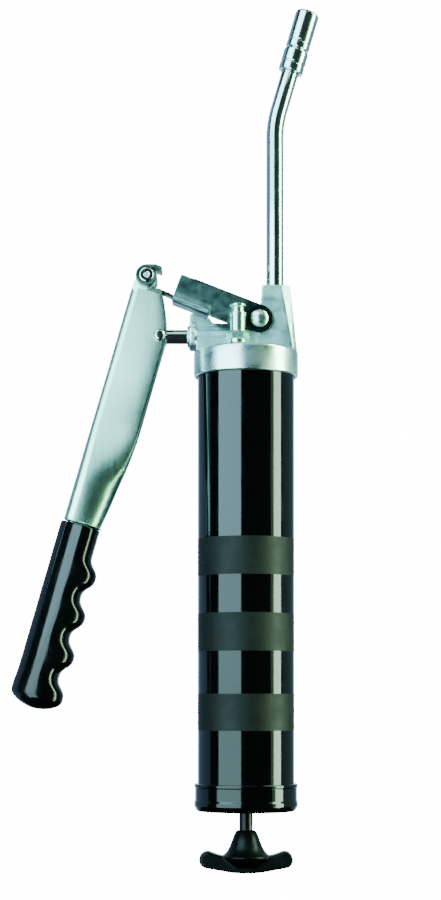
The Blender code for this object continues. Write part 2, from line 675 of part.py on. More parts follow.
def build_grip(pivot):
    stations = [GRIP_START, GRIP_START + 1.5, 159]
    ridge_steps = 8
    first = FIRST_RIDGE_S - FINGER_PITCH / 2
    stations += [first + FINGER_PITCH * i / ridge_steps for i in range(28)]
    stations += [GRIP_ROUND_S, 256, 258, 259.6, 261, GRIP_END]
    grip = add_object("lever_grip", loft([grip_ring(s) for s in stations]), "black_plastic", parent=pivot)
    pocket = box((LEVER_BACK_T + 2.0 - GAP, -6.0 - GAP, -206), (9.4 + GAP, 6.0 + GAP, -GRIP_START + 5))
    cut(grip, add_object("cut_grip_pocket", pocket, parent=pivot))


# ---------------------------------------------------------------- plunger, spout and coupler

def build_plunger(pivot):
    """Plunger in the frame of its own pin: round rod, flat slotted eye at the lever."""
    reach = PLUNGER_TIP - PLUNGER_PIVOT[0]
    shaft = turned([
        (0, 3.2), (PLUNGER_R, 3.2), (PLUNGER_R, reach - 0.6), (PLUNGER_R - 0.6, reach), (0, reach)], 24)
    across = (0, math.radians(90), 0)
    plunger = add_object("pump_plunger", shaft, "chrome", rotation=across, parent=pivot)
    wall = 1.7
    left = -EYE_SLOT_HALF - wall
    right = EYE_SLOT_HALF + wall - 0.1
    low = EYE_SLOT_LOW - wall
    high = EYE_SLOT_HIGH + wall
    outline = [(left, low + 2), (left + 2, low), (right - 1.5, low), (right, low + 1.5),
               (right, high - 1.5), (right - 1.5, high), (left + 2, high), (left, high - 2)]
    fuse(plunger, add_object("plunger_eye", prism(outline, -3.9, 3.9), parent=pivot))
    radius = EYE_SLOT_HALF
    slot = arc((0, EYE_SLOT_HIGH - radius), radius, 0, 180, 8)
    slot += arc((0, EYE_SLOT_LOW + radius), radius, 180, 360, 8)
    cut(plunger, add_object("cut_plunger_slot", prism(slot, -6, 6), parent=pivot))


def spout_point(distance):
    """Point and heading of the spout's centre line, distance measured up from its foot."""
    tangent = BEND_RADIUS * math.tan(SPOUT_TILT / 2)
    straight = BEND_Z - tangent - PIPE_BOTTOM
    bend = BEND_RADIUS * SPOUT_TILT
    if distance <= straight:
        return Vector((OUTLET_X, 0, PIPE_BOTTOM + distance)), 0.0
    if distance <= straight + bend:
        angle = (distance - straight) / BEND_RADIUS
        x = OUTLET_X + BEND_RADIUS * (1 - math.cos(angle))
        z = BEND_Z - tangent + BEND_RADIUS * math.sin(angle)
        return Vector((x, 0, z)), angle
    rest = distance - straight - bend + tangent
    heading = Vector((math.sin(SPOUT_TILT), 0, math.cos(SPOUT_TILT)))
    return Vector((OUTLET_X, 0, BEND_Z)) + heading * rest, SPOUT_TILT


def build_spout():
    tangent = BEND_RADIUS * math.tan(SPOUT_TILT / 2)
    straight = BEND_Z - tangent - PIPE_BOTTOM
    bend = BEND_RADIUS * SPOUT_TILT
    total = straight + bend - tangent + COUPLER_START + 7.4
    marks = [0.6, straight] + [straight + bend * i / 5 for i in range(1, 6)] + [total - 0.6]

    def tube_ring(distance, radius):
        centre, angle = spout_point(distance)
        side = Vector((math.cos(angle), 0, -math.sin(angle)))
        ring_points = []
        for i in range(SMALL_ROUND):
            turn = 2 * math.pi * i / SMALL_ROUND
            offset = side * math.cos(turn) + Vector((0, math.sin(turn), 0))
            ring_points.append(centre + offset * radius)
        return ring_points

    outside = [tube_ring(0, PIPE_R - 0.6)] + [tube_ring(d, PIPE_R) for d in marks]
    outside.append(tube_ring(total, PIPE_R - 0.6))
    inside = [tube_ring(d, PIPE_BORE_R) for d in [total] + marks[::-1] + [0]]
    add_object("spout_pipe", loft(outside + inside, closed=True), "chrome")


def build_coupler(pivot):
    """Hydraulic coupler along its own axis, w = 0 at its lower face."""
    body = turned([
        (1.2, 8.0), (PIPE_R + GAP, 8.0), (PIPE_R + GAP, 0), (6.6, 0), (7.35, 0.8), (7.35, 12.4),
        (6.7, 13.3), (5.2, 13.3), (5.2, 20.0), (3.3, 20.0), (3.3, 10.0), (1.2, 10.0)], 20)
    add_object("coupler_body", body, "chrome", parent=pivot)
    sleeve = turned([
        (5.5, 14.1), (6.6, 14.1), (7.05, 14.8), (7.05, COUPLER_LENGTH - 1.1), (6.2, COUPLER_LENGTH),
        (5.0, COUPLER_LENGTH), (5.5, COUPLER_LENGTH - 2.1)], 20)
    add_object("coupler_sleeve", sleeve, "chrome", parent=pivot)
    piston = turned([
        (0.9, 15.2), (3.0, 15.2), (3.0, 22.6), (4.3, 22.6), (4.3, 23.6), (3.0, 24.4), (3.0, 27.0),
        (2.2, 28.0), (0.9, 28.0)], SMALL_ROUND)
    add_object("coupler_seal_piston", piston, "seal_rubber", parent=pivot)
    add_object("coupler_spring", helix(2.75, 0.3, 10.5, 12.9, 3), "spring_steel", parent=pivot)
    for number in range(4):
        middle = 45 + 90 * number
        rings = []
        for w, inner, outer in ((24.8, 3.7, 5.1), (33.0, 3.7, 5.1), (35.8, 3.45, 4.7)):
            outline = arc((0, 0), outer, middle - 40, middle + 40, 4)
            outline += arc((0, 0), inner, middle + 38, middle - 38, 4)
            rings.append([(x, y, w) for x, y in outline])
        add_object(f"coupler_jaw_{number + 1}", loft(rings), "spring_steel", parent=pivot)


def build_gun():
    clear_scene()
    build_barrel()
    build_head()
    build_gland()
    build_check_valve()
    build_vent()
    build_follower()
    build_rod()
    build_handle()
    link_pivot = add_pivot("link_axis", (HEAD_PIVOT[0], 0, HEAD_PIVOT[1]), (0, LINK_TILT, 0))
    build_link(link_pivot)
    lever_pivot = add_pivot("lever_axis", (LINK_PIVOT[0], 0, LINK_PIVOT[1]), (0, LEVER_TILT, 0))
    build_lever(lever_pivot)
    build_grip(lever_pivot)
    plunger_pivot = add_pivot("plunger_axis", (PLUNGER_PIVOT[0], 0, PLUNGER_PIVOT[1]))
    build_plunger(plunger_pivot)
    build_pins()
    build_spout()
    coupler_foot = (OUTLET_X + COUPLER_START * math.sin(SPOUT_TILT), 0,
                    BEND_Z + COUPLER_START * math.cos(SPOUT_TILT))
    build_coupler(add_pivot("coupler_axis", coupler_foot, (0, SPOUT_TILT, 0)))


build_gun()
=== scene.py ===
"""Lever grease gun: the finished looks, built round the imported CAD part.

Lengths are millimetres in the part's frame until mesh_object() turns them into metres.
The barrel's axis is Z, z = 0 is the open face of the head's collar, X points from the
lever towards the outlet, and Y runs across the linkage pins.
"""
import json
from math import atan2, copysign, cos, degrees, hypot, pi, radians, sin, sqrt, tan

import bmesh
import bpy
from mathutils import Matrix, Vector

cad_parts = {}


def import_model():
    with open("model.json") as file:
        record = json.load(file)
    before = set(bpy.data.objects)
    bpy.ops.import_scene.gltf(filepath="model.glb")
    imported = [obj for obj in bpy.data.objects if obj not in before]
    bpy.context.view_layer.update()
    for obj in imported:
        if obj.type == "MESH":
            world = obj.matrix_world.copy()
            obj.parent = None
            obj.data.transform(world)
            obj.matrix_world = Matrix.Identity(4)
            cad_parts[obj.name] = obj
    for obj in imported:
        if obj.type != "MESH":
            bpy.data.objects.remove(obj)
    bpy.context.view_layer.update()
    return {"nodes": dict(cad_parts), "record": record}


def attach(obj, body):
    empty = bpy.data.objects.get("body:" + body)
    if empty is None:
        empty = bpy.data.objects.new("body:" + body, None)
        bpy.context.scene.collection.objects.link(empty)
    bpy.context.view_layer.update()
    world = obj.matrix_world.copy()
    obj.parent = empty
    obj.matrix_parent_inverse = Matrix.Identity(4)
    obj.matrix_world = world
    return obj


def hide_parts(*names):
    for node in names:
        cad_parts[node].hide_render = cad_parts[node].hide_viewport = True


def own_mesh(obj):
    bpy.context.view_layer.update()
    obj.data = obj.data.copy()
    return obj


MM = 0.001
GAP = 0.3  # clearance between neighbouring pieces
TURN_STEPS = 128  # sides of a large turned piece
SMALL_STEPS = 56  # sides of a small turned piece
CAST_VOXEL = 0.42  # grid on which cast and moulded bodies are melted into one skin
SHEET_VOXEL = 0.36  # the same for the link's thinner sheet

# Barrel and end cap
BARREL_R = 28.5
BARREL_WALL = 1.5
BARREL_TOP = 10.8
BARREL_BOTTOM = -252.6
CAP_R = 30.1
CAP_TOP = -239.4
CAP_BOTTOM = -255.5
CAP_FLOOR = 2.2
CAP_BORE_R = 6.3
SATIN_BANDS = ((-117.6, -95.6), (-161.8, -139.6), (-208.0, -186.6))

# Pump head
COLLAR_R = 30.8
COLLAR_HEIGHT = 15.3
CAVITY_DEPTH = 12.5
PUMP_Z = 24.0
PUMP_R = 8.0
PUMP_LEFT = -33.6
HEAD_HALF_WIDTH = 8.2
OUTLET_X = 17.1
OUTLET_BASE = 13.0
OUTLET_TOP = 53.3
VENT_X = -5.0
VENT_Y = -19.0
VENT_SPRING_LOW = 26.3
VENT_SPRING_HIGH = 32.7

# Follower rod and its spring
SPRING_BASE = -252.85
SPRING_REST_TOP = -27.35
FOLLOWER_WIRE = 1.25
FOLLOWER_COIL_R = 20.0
ROD_TOP = -12.2
ROD_GROOVE = -33.0

# Linkage, as (x, z) points in the plane of the barrel's axis
HEAD_PIVOT = (7.8, 33.0)
LINK_PIVOT = (-58.4, 58.6)
PLUNGER_PIVOT = (-51.0, PUMP_Z)
LINK_LENGTH = hypot(HEAD_PIVOT[0] - LINK_PIVOT[0], LINK_PIVOT[1] - HEAD_PIVOT[1])
LINK_TILT = atan2(LINK_PIVOT[1] - HEAD_PIVOT[1], HEAD_PIVOT[0] - LINK_PIVOT[0])
HEAD_PIN_R = 3.0
HEAD_PIN_HEAD_R = 5.15
LINK_PIN_R = 4.2
PLUNGER_PIN_R = 2.0
LINK_HALF_WIDTH = 11.0
LINK_SHEET = 2.4
EYE_SHEET = 1.9
EYE_MID_R = 5.4
TONGUE_HALF_WIDTH = 4.2
CHANNEL_START = 19.0
CHANNEL_END = 41.5

# Lever and grip, along the lever from its pivot (s) and across it (t)
LEVER_TILT = radians(16.2)
LEVER_SHEET = 1.8
LEVER_BACK_T = -6.9
LEVER_START = 8.0
LEVER_WIDE_S = 37.4  # where the lever reaches its full width
LEVER_WIDE_T = 21.15
LEVER_END = 205
NECK_R = 6.2
GRIP_START = 151.0
GRIP_END = 262.2
GRIP_ROUND_S = 253.6  # where the end begins to close in
GRIP_BACK_T = -8.85
GRIP_CREST_T = 5.0  # where the grip is thickest
GRIP_FRONT_T = 15.3  # the front edge between the ridges
GRIP_HALF_WIDTH = 11.6
GRIP_EASE = 0.988  # keeps the fine surface inside the faceted one
FINGER_PITCH = 24.35
FINGER_DEPTH = 5.7
FIRST_RIDGE_S = 179.4

# Plunger, spout, coupler, rod and handle
PLUNGER_R = 4.25
PLUNGER_TIP = 8.0
PIPE_R = 5.1
PIPE_BORE_R = 2.4
PIPE_BOTTOM = 39.0
SPOUT_TILT = radians(16.5)
BEND_Z = 150.1
BEND_RADIUS = 60.0
COUPLER_START = 31.9
COUPLER_LENGTH = 36.7
JAW_SECTIONS = (  # height above the coupler's foot, inner and outer radius
    (24.8, 3.7, 5.1), (25.2, 3.7, 5.1), (33.0, 3.7, 5.1), (35.4, 3.5, 4.85), (35.8, 3.5, 4.7))
ROD_R = 4.0
HANDLE_TOP = -266.7
HANDLE_BOTTOM = -292.0
WING_HALF_DEPTH = 6.5

ACROSS = Matrix.Rotation(radians(90), 4, "Y")
FACING = Matrix.Rotation(radians(90), 4, "X")
PUMP_PLACE = Matrix.Translation((0, 0, PUMP_Z)) @ ACROSS
VENT_PLACE = Matrix.Translation((VENT_X, VENT_Y, 0))

# Studio, in metres: the soft box's marks, then each panel, whose angle runs from -Y to +X
BOX_ANGLE = -39.5
BOX_LOW = -0.6
BOX_EDGE = 0.13  # below it the softbox is bright
BOX_CROWN = 0.34
BOX_HIGH = 0.8
PANELS = (
    # name, degrees, distance, width, low, high, radiance, colour
    ("softbox_full", BOX_ANGLE, 0.50, 0.520, BOX_LOW, BOX_EDGE, 5.4, (0.52, 0.92, 0.94)),
    ("softbox_upper", BOX_ANGLE, 0.50, 0.520, BOX_EDGE, BOX_CROWN, 4.4, (0.42, 0.92, 0.92)),
    ("softbox_crown", BOX_ANGLE, 0.50, 0.520, BOX_CROWN, BOX_HIGH, 7.5, (0.44, 0.90, 0.96)),
    ("softbox_low", BOX_ANGLE, 0.49, 0.510, -0.18, BOX_EDGE, 0.6, (0.46, 0.82, 1.0)),
    ("softbox_middle", BOX_ANGLE, 0.48, 0.500, -0.135, BOX_EDGE, 0.9, (0.42, 0.78, 1.0)),
    ("softbox_high", BOX_ANGLE, 0.47, 0.489, -0.06, BOX_EDGE, 2.6, (0.36, 0.72, 1.0)),
    ("strip_light", 77.5, 0.5, 0.185, BOX_LOW, BOX_HIGH, 22.0, (0.60, 1.0, 0.66)),
    ("strip_edge", 63.0, 0.5, 0.07, BOX_LOW, BOX_HIGH, 1.6, (0.40, 1.0, 0.45)),
    ("left_bounce", -134, 0.6, 1.05, -0.5, 0.7, 0.6, (0.35, 0.62, 1.0)),
    ("right_bounce", 134, 0.6, 1.0, -0.5, 0.7, 0.35, (0.40, 0.80, 1.0)),
    ("rear_panel", 180, 0.8, 0.9, -0.5, 0.7, 1.5, (0.50, 0.88, 1.0)),
)
DIM_WORLD = (0.018, 0.024, 0.024, 1.0)
PALE_STRENGTH = 16.0
FLOOR_Z = -0.50
FLOOR_R = 0.7
FLOOR_GLOW = 3.0

LOOKS = {}  # the material of each slot, filled in main()


# ---- outlines and meshes

def arc(centre, radius, start, end, count):
    """Points of an (x, z) arc, angles in degrees."""
    points = []
    for i in range(count + 1):
        angle = radians(start + (end - start) * i / count)
        points.append((centre[0] + radius * cos(angle), centre[1] + radius * sin(angle)))
    return points


def filleted(outline, steps=4, hold=0.15):
    """Round the corners of a closed outline whose points are (x, z) or (x, z, radius).

    A point a little way along each straight keeps its shading flat next to the corner.
    """
    result = []
    count = len(outline)
    for i, point in enumerate(outline):
        here = Vector(point[:2])
        if len(point) < 3:
            result.append(tuple(here))
            continue
        before = Vector(outline[i - 1][:2]) - here
        after = Vector(outline[(i + 1) % count][:2]) - here
        half = before.angle(after) / 2
        reach = min(point[2] / tan(half), before.length * 0.48, after.length * 0.48)
        radius = reach * tan(half)
        middle = before.normalized() + after.normalized()
        centre = here + middle.normalized() * (radius / sin(half))
        first = here + before.normalized() * reach - centre
        last = here + after.normalized() * reach - centre
        start = atan2(first.y, first.x)
        sweep = (atan2(last.y, last.x) - start + pi) % (2 * pi) - pi
        if reach + hold < before.length * 0.48:
            result.append(tuple(here + before.normalized() * (reach + hold)))
        for k in range(steps + 1):
            angle = start + sweep * k / steps
            result.append((centre.x + radius * cos(angle), centre.y + radius * sin(angle)))
        if reach + hold < after.length * 0.48:
            result.append(tuple(here + after.normalized() * (reach + hold)))
    return result


def turned(outline, steps=SMALL_STEPS, fillet_steps=4):
    """Spin a closed (radius, height[, fillet]) outline about Z."""
    bm = bmesh.new()
    verts = [bm.verts.new((r, 0, z)) for r, z in filleted(outline, fillet_steps)]
    for first, second in zip(verts, verts[1:] + verts[:1]):
        if first.co.x > 0.0001 or second.co.x > 0.0001:
            bm.edges.new((first, second))
    bmesh.ops.spin(bm, geom=bm.verts[:] + bm.edges[:], cent=(0, 0, 0), axis=(0, 0, 1),
            angle=2 * pi, steps=steps, use_merge=False, use_duplicate=False)
    bmesh.ops.remove_doubles(bm, verts=bm.verts, dist=0.0005)
    bmesh.ops.recalc_face_normals(bm, faces=bm.faces)
    return bm


def rod(radius, low, high, steps=SMALL_STEPS, edge=0.0):
    if edge:
        return turned([(0, low), (radius, low, edge), (radius, high, edge), (0, high)], steps)
    return turned([(0, low), (radius, low), (radius, high), (0, high)], steps)


def prism(outline, low, high, edge=0.0, edge_steps=3):
    """Extrude an (x, z) outline along Y, with rounded edges."""
    bm = bmesh.new()
    face = bm.faces.new([bm.verts.new((x, low, z)) for x, z in outline])
    sweep = bmesh.ops.extrude_face_region(bm, geom=[face])
    moved = [item for item in sweep["geom"] if isinstance(item, bmesh.types.BMVert)]
    bmesh.ops.translate(bm, verts=moved, vec=(0, high - low, 0))
    bmesh.ops.recalc_face_normals(bm, faces=bm.faces)
    if edge:
        rim = [e for e in bm.edges if e.calc_face_angle(0) > radians(60)]
        bmesh.ops.bevel(bm, geom=rim, offset=edge, segments=edge_steps, profile=0.5,
                affect="EDGES", clamp_overlap=True)
    return bm


def box(low, high, edge=0.0):
    outline = [(low[0], low[2]), (high[0], low[2]), (high[0], high[2]), (low[0], high[2])]
    return prism(outline, low[1], high[1], edge)


def loft(rings, closed=False):
    """Join rings of equal point count; the ends are capped, or joined when closed."""
    bm = bmesh.new()
    loops = [[bm.verts.new(point) for point in points] for points in rings]
    pairs = list(zip(loops, loops[1:]))
    if closed:
        pairs.append((loops[-1], loops[0]))
    for here, there in pairs:
        for i in range(len(here)):
            j = (i + 1) % len(here)
            bm.faces.new((here[i], here[j], there[j], there[i]))
    if not closed:
        bm.faces.new(loops[0])
        bm.faces.new(loops[-1])
    bmesh.ops.recalc_face_normals(bm, faces=bm.faces)
    return bm


def strip_outline(path, thickness):
    """Closed outline of an even sheet whose middle follows a path."""
    left = []
    right = []
    for i, (x, z) in enumerate(path):
        before = path[max(i - 1, 0)]
        after = path[min(i + 1, len(path) - 1)]
        run = Vector((after[0] - before[0], after[1] - before[1])).normalized()
        left.append((x - run.y * thickness / 2, z + run.x * thickness / 2))
        right.append((x + run.y * thickness / 2, z - run.x * thickness / 2))
    return left + right[::-1]


def softened(path, rounds=3):
    """Chaikin corner cutting of an open path that keeps its end points."""
    points = [Vector(p) for p in path]
    for _ in range(rounds):
        cut = [points[0]]
        for first, second in zip(points, points[1:]):
            cut += [first.lerp(second, 0.25), first.lerp(second, 0.75)]
        points = cut + [points[-1]]
    return [tuple(p) for p in points]


def circle(centre, across, up, radius, sides):
    """Points round a centre in the plane of two directions."""
    turns = [2 * pi * k / sides for k in range(sides)]
    return [centre + across * radius * cos(turn) + up * (radius * sin(turn)) for turn in turns]


def helix(radius, wire, low, high, turns, per_turn=40, sides=12):
    """Compression spring whose wire centres run from low to high."""
    rings = []
    steps = int(turns * per_turn)
    for i in range(steps + 1):
        angle = 2 * pi * i / per_turn
        out = Vector((cos(angle), sin(angle), 0))
        centre = out * radius + Vector((0, 0, low + (high - low) * i / steps))
        rings.append(circle(centre, out, Vector((0, 0, 1)), wire, sides))
    return loft(rings)


def blend(low, high, value):
    """Smooth step from 0 at low to 1 at high."""
    x = min(max((value - low) / (high - low), 0.0), 1.0)
    return x * x * (3 - 2 * x)


def joined(*parts):
    """One bmesh that holds every part; the parts may pass through each other."""
    whole = parts[0]
    for part in parts[1:]:
        mesh = bpy.data.meshes.new("part")
        part.to_mesh(mesh)
        part.free()
        whole.from_mesh(mesh)
        bpy.data.meshes.remove(mesh)
    return whole


def placed(bm, matrix):
    bmesh.ops.transform(bm, matrix=matrix, verts=bm.verts)
    return bm


def modified(bm, add_modifiers, tools=()):
    """Run modifiers on a bmesh through a short-lived object, with tool meshes for Booleans."""
    made = []
    for source in (bm, *tools):
        mesh = bpy.data.meshes.new("work")
        source.to_mesh(mesh)
        source.free()
        made.append(new_object("work", mesh))
    add_modifiers(made[0], made[1:])
    graph = bpy.context.evaluated_depsgraph_get()
    result = bmesh.new()
    result.from_mesh(made[0].evaluated_get(graph).to_mesh())
    made[0].evaluated_get(graph).to_mesh_clear()
    for work in made:
        mesh = work.data
        bpy.data.objects.remove(work, do_unlink=True)
        bpy.data.meshes.remove(mesh)
    return result


def cast(bm, voxel, smooth_rounds):
    """Melt overlapping solids into one skin with soft fillets, as in a casting."""
    def add(work, _):
        skin = work.modifiers.new("skin", "REMESH")
        skin.mode = "VOXEL"
        skin.voxel_size = voxel
        soft = work.modifiers.new("soft", "SMOOTH")
        soft.factor = 0.5
        soft.iterations = smooth_rounds
    return modified(bm, add)


def carved(bm, tools, solver="MANIFOLD"):
    """Cut every tool out of a closed bmesh."""
    def add(work, cutters):
        for cutter in cutters:
            cut = work.modifiers.new("cut", "BOOLEAN")
            cut.operation = "DIFFERENCE"
            cut.solver = solver
            cut.object = cutter
    return modified(bm, add, tools)


def new_object(name, data):
    made = bpy.data.objects.new(name, data)
    bpy.context.scene.collection.objects.link(made)
    return made


def mesh_object(name, bm, body, replaces, slot, place=Matrix.Identity(4), sharp=32, material=None):
    """Turn a bmesh in millimetres into a finished piece, in its slot's look or a given one."""
    bmesh.ops.transform(bm, matrix=Matrix.Scale(MM, 4) @ place, verts=bm.verts)
    bmesh.ops.recalc_face_normals(bm, faces=bm.faces)
    mesh = bpy.data.meshes.new(name)
    bm.to_mesh(mesh)
    bm.free()
    mesh.shade_smooth()
    mesh.set_sharp_from_angle(angle=radians(sharp))
    mesh.materials.append(material or LOOKS[slot])
    piece = new_object(name, mesh)
    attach(piece, body)
    if replaces:
        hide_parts(*replaces)
    return piece


def shift(x, y, z):
    return Matrix.Translation((x, y, z))


def pin_place(pivot):
    """Puts a piece turned about Z on a pivot of the linkage, its top towards -Y."""
    return shift(pivot[0], 0, pivot[1]) @ FACING


# ---- materials

class Recipe:
    """A Principled material whose patterns lie in the piece's own object coordinates."""

    def __init__(self, name, colour, roughness, metallic=0.0):
        self.material = bpy.data.materials.new(name)
        self.material.use_nodes = True
        self.tree = self.material.node_tree
        self.shader = self.tree.nodes["Principled BSDF"]
        self.shader.inputs["Base Color"].default_value = (*colour, 1.0)
        self.shader.inputs["Roughness"].default_value = roughness
        self.shader.inputs["Metallic"].default_value = metallic
        self.coords = self.node("ShaderNodeTexCoord").outputs["Object"]
        self.normal = None

    def node(self, kind, **values):
        made = self.tree.nodes.new(kind)
        for key, value in values.items():
            setattr(made, key, value)
        return made

    def link(self, source, target):
        self.tree.links.new(source, target)

    def noise(self, scale, detail=3.0, stretch=(1, 1, 1), turn=(0, 0, 0)):
        mapping = self.node("ShaderNodeMapping")
        mapping.inputs["Scale"].default_value = stretch
        mapping.inputs["Rotation"].default_value = turn
        self.link(self.coords, mapping.inputs["Vector"])
        texture = self.node("ShaderNodeTexNoise")
        texture.inputs["Scale"].default_value = scale
        texture.inputs["Detail"].default_value = detail
        self.link(mapping.outputs["Vector"], texture.inputs["Vector"])
        return texture.outputs["Fac"]

    def spread(self, value, low, high, from_low=0.35, from_high=0.65):
        """Map a noise value's middle range onto low to high."""
        made = self.node("ShaderNodeMapRange")
        names = ("From Min", "From Max", "To Min", "To Max")
        for name, bound in zip(names, (from_low, from_high, low, high)):
            made.inputs[name].default_value = bound
        self.link(value, made.inputs["Value"])
        return made.outputs["Result"]

    def feed(self, sockets, values):
        """Give each socket its number, its colour or the socket it is linked to."""
        for socket, value in zip(sockets, values):
            if isinstance(value, tuple):
                socket.default_value = (*value, 1.0)
            elif isinstance(value, (int, float)):
                socket.default_value = value
            else:
                self.link(value, socket)

    def math(self, operation, first, second):
        made = self.node("ShaderNodeMath", operation=operation)
        self.feed(made.inputs, (first, second))
        return made.outputs[0]

    def mix(self, share, first, second):
        """Mix two colours by a share."""
        made = self.node("ShaderNodeMix", data_type="RGBA")
        self.feed([made.inputs[i] for i in (0, 6, 7)], (share, first, second))
        return made.outputs[2]

    def level(self, share, first, second):
        """Mix two plain values by a share."""
        made = self.node("ShaderNodeMix", data_type="FLOAT")
        self.feed([made.inputs[i] for i in (0, 2, 3)], (share, first, second))
        return made.outputs[0]

    def vector(self, operation, source, *constants):
        made = self.node("ShaderNodeVectorMath", operation=operation)
        self.link(source, made.inputs[0])
        for socket, value in zip(made.inputs[1:], constants):
            socket.default_value = value
        return made.outputs["Value" if operation in ("LENGTH", "DOT_PRODUCT") else "Vector"]

    def colour(self, socket):
        self.link(socket, self.shader.inputs["Base Color"])

    def cloudy(self, scale, detail, first, second):
        """Colour the piece with two tones in soft clouds."""
        self.colour(self.mix(self.spread(self.noise(scale, detail), 0, 1), first, second))

    def roughness(self, socket):
        self.link(socket, self.shader.inputs["Roughness"])

    def bump(self, scale, detail, depth_mm, strength):
        height = self.noise(scale, detail)
        made = self.node("ShaderNodeBump")
        made.inputs["Distance"].default_value = depth_mm * MM
        made.inputs["Strength"].default_value = strength
        self.link(height, made.inputs["Height"])
        if self.normal:
            self.link(self.normal, made.inputs["Normal"])
        self.normal = made.outputs["Normal"]
        self.link(self.normal, self.shader.inputs["Normal"])


def cast_aluminium():
    """Blasted casting: cool mottled grey, fine grain, the collar's rim turned smoother."""
    made = Recipe("cast_aluminium", (0.50, 0.66, 0.66), 0.4, 1.0)
    patches = made.spread(made.noise(75, 4), 0, 1, 0.38, 0.66)
    speckle = made.spread(made.noise(420, 5), 0, 1, 0.3, 0.7)
    body = made.mix(patches, (0.56, 0.86, 0.84), (0.24, 0.45, 0.46))
    axis_distance = made.vector("LENGTH", made.vector("MULTIPLY", made.coords, (1, 1, 0)))
    rim = made.spread(axis_distance, 0, 1, 0.0296, 0.0303)
    body = made.mix(made.math("MULTIPLY", speckle, 0.35), body, (0.30, 0.44, 0.45))
    turned_rim = made.mix(patches, (0.86, 1.0, 1.0), (0.56, 0.76, 0.78))
    made.colour(made.mix(rim, body, turned_rim))
    made.roughness(made.level(rim, made.spread(made.noise(160, 4), 0.34, 0.50),
            made.spread(made.noise(90, 4), 0.23, 0.34)))
    made.bump(1400, 4, 0.05, 0.6)
    made.bump(170, 4, 0.22, 0.5)
    return made.material


def bright_plate(name="bright_plate", turn=0.0):
    """Zinc plated sheet steel: pale, slightly green, rolled along the piece."""
    made = Recipe(name, (0.66, 0.92, 0.80), 0.25, 1.0)
    cloud = made.spread(made.noise(22, 2), 0, 1, 0.35, 0.68)
    made.colour(made.mix(cloud, (0.66, 1.0, 0.84), (0.55, 0.91, 0.75)))
    grain = made.spread(made.noise(420, 3, stretch=(1, 1, 0.05), turn=(0, turn, 0)), 0.0, 0.03)
    base = made.spread(made.noise(30, 2), 0.22, 0.28)
    made.roughness(made.math("ADD", grain, base))
    made.bump(18, 2, 0.05, 0.25)
    return made.material


def dark_plate():
    """Dark grey-green plated steel of the toggle link, darkened in a ring round its pivot.

    The channel's lower bend carries a painted highlight, and the tongue a painted shade that makes it
    darker than the channel.
    """
    made = Recipe("dark_plate", (0.10, 0.16, 0.16), 0.36, 1.0)
    patches = made.spread(made.noise(120, 4), 0, 1, 0.36, 0.66)
    plate = made.mix(patches, (0.082, 0.120, 0.113), (0.036, 0.058, 0.054))
    away = made.vector("MULTIPLY_ADD", made.coords, (1, 0, 1),
            (-HEAD_PIVOT[0] * MM, 0, -HEAD_PIVOT[1] * MM))
    distance = made.vector("LENGTH", away)
    # darkens the plate in a ring round the head pivot
    uneven = made.math("ADD", distance, made.spread(made.noise(220, 3), -0.002, 0.002))
    dark_pivot_ring = made.spread(uneven, 0.92, 0, 0.0075, 0.017)
    across = made.vector("DOT_PRODUCT", away, (sin(LINK_TILT) / MM, 0, cos(LINK_TILT) / MM))
    # painted highlight: a bright stripe along the channel's lower bend, where the bend catches the
    # light
    bend = made.math("SUBTRACT", made.spread(across, 0, 1, -7.9, -7.4),
            made.spread(across, 0, 1, -6.3, -5.7))
    bend = made.math("MULTIPLY", bend, made.spread(distance, 0, 0.85, 0.0295, 0.031))
    bend = made.math("MULTIPLY", bend, made.spread(distance, 1, 0, 0.0515, 0.0525))
    plate = made.mix(bend, plate, (0.34, 0.54, 0.51))
    # painted shade: the tongue is coloured darker than the channel
    tongue = made.math("MULTIPLY", made.spread(distance, 0, 1, 0.0525, 0.0533),
            made.spread(distance, 1, 0, 0.0615, 0.0635))
    plate = made.mix(tongue, plate, (0.012, 0.020, 0.019))
    made.colour(made.mix(dark_pivot_ring, plate, (0.006, 0.009, 0.009)))
    made.roughness(made.spread(made.noise(260, 4), 0.28, 0.46))
    made.bump(900, 4, 0.03, 0.5)
    made.bump(180, 3, 0.1, 0.4)
    return made.material


def chrome(name="chrome", dull=0.0):
    """Bright plating with faint polishing lines and a few dull spots."""
    made = Recipe(name, (0.72, 0.86, 0.84), 0.08, 1.0)
    made.cloudy(55, 3, (0.76, 0.92, 0.90), (0.66, 0.84, 0.82))
    lines = made.spread(made.noise(1500, 3, stretch=(1, 1, 0.03)), 0.0, 0.02)
    spots = made.spread(made.noise(140, 4), 0.03 + dull, 0.08 + dull)
    made.roughness(made.math("ADD", lines, spots))
    made.bump(60, 2, 0.015, 0.2)
    return made.material


def black_enamel():
    """Glossy black stove enamel with a little dust in it."""
    made = Recipe("black_enamel", (0.0008, 0.001, 0.001), 0.1)
    made.roughness(made.spread(made.noise(60, 4), 0.05, 0.11))
    dust = made.spread(made.noise(700, 5), 0, 0.25, 0.55, 0.8)
    made.colour(made.mix(dust, (0.0006, 0.0008, 0.0007), (0.004, 0.005, 0.005)))
    made.bump(240, 3, 0.02, 0.25)
    return made.material


def black_satin():
    """The plain bands round the barrel, where the enamel is satin."""
    made = Recipe("black_satin", (0.0008, 0.0011, 0.0009), 0.62)
    made.cloudy(40, 3, (0.0006, 0.0009, 0.0007), (0.0016, 0.0022, 0.0018))
    made.roughness(made.spread(made.noise(110, 4), 0.50, 0.60))
    made.shader.inputs["Specular IOR Level"].default_value = 0.24
    made.bump(900, 4, 0.02, 0.4)
    return made.material


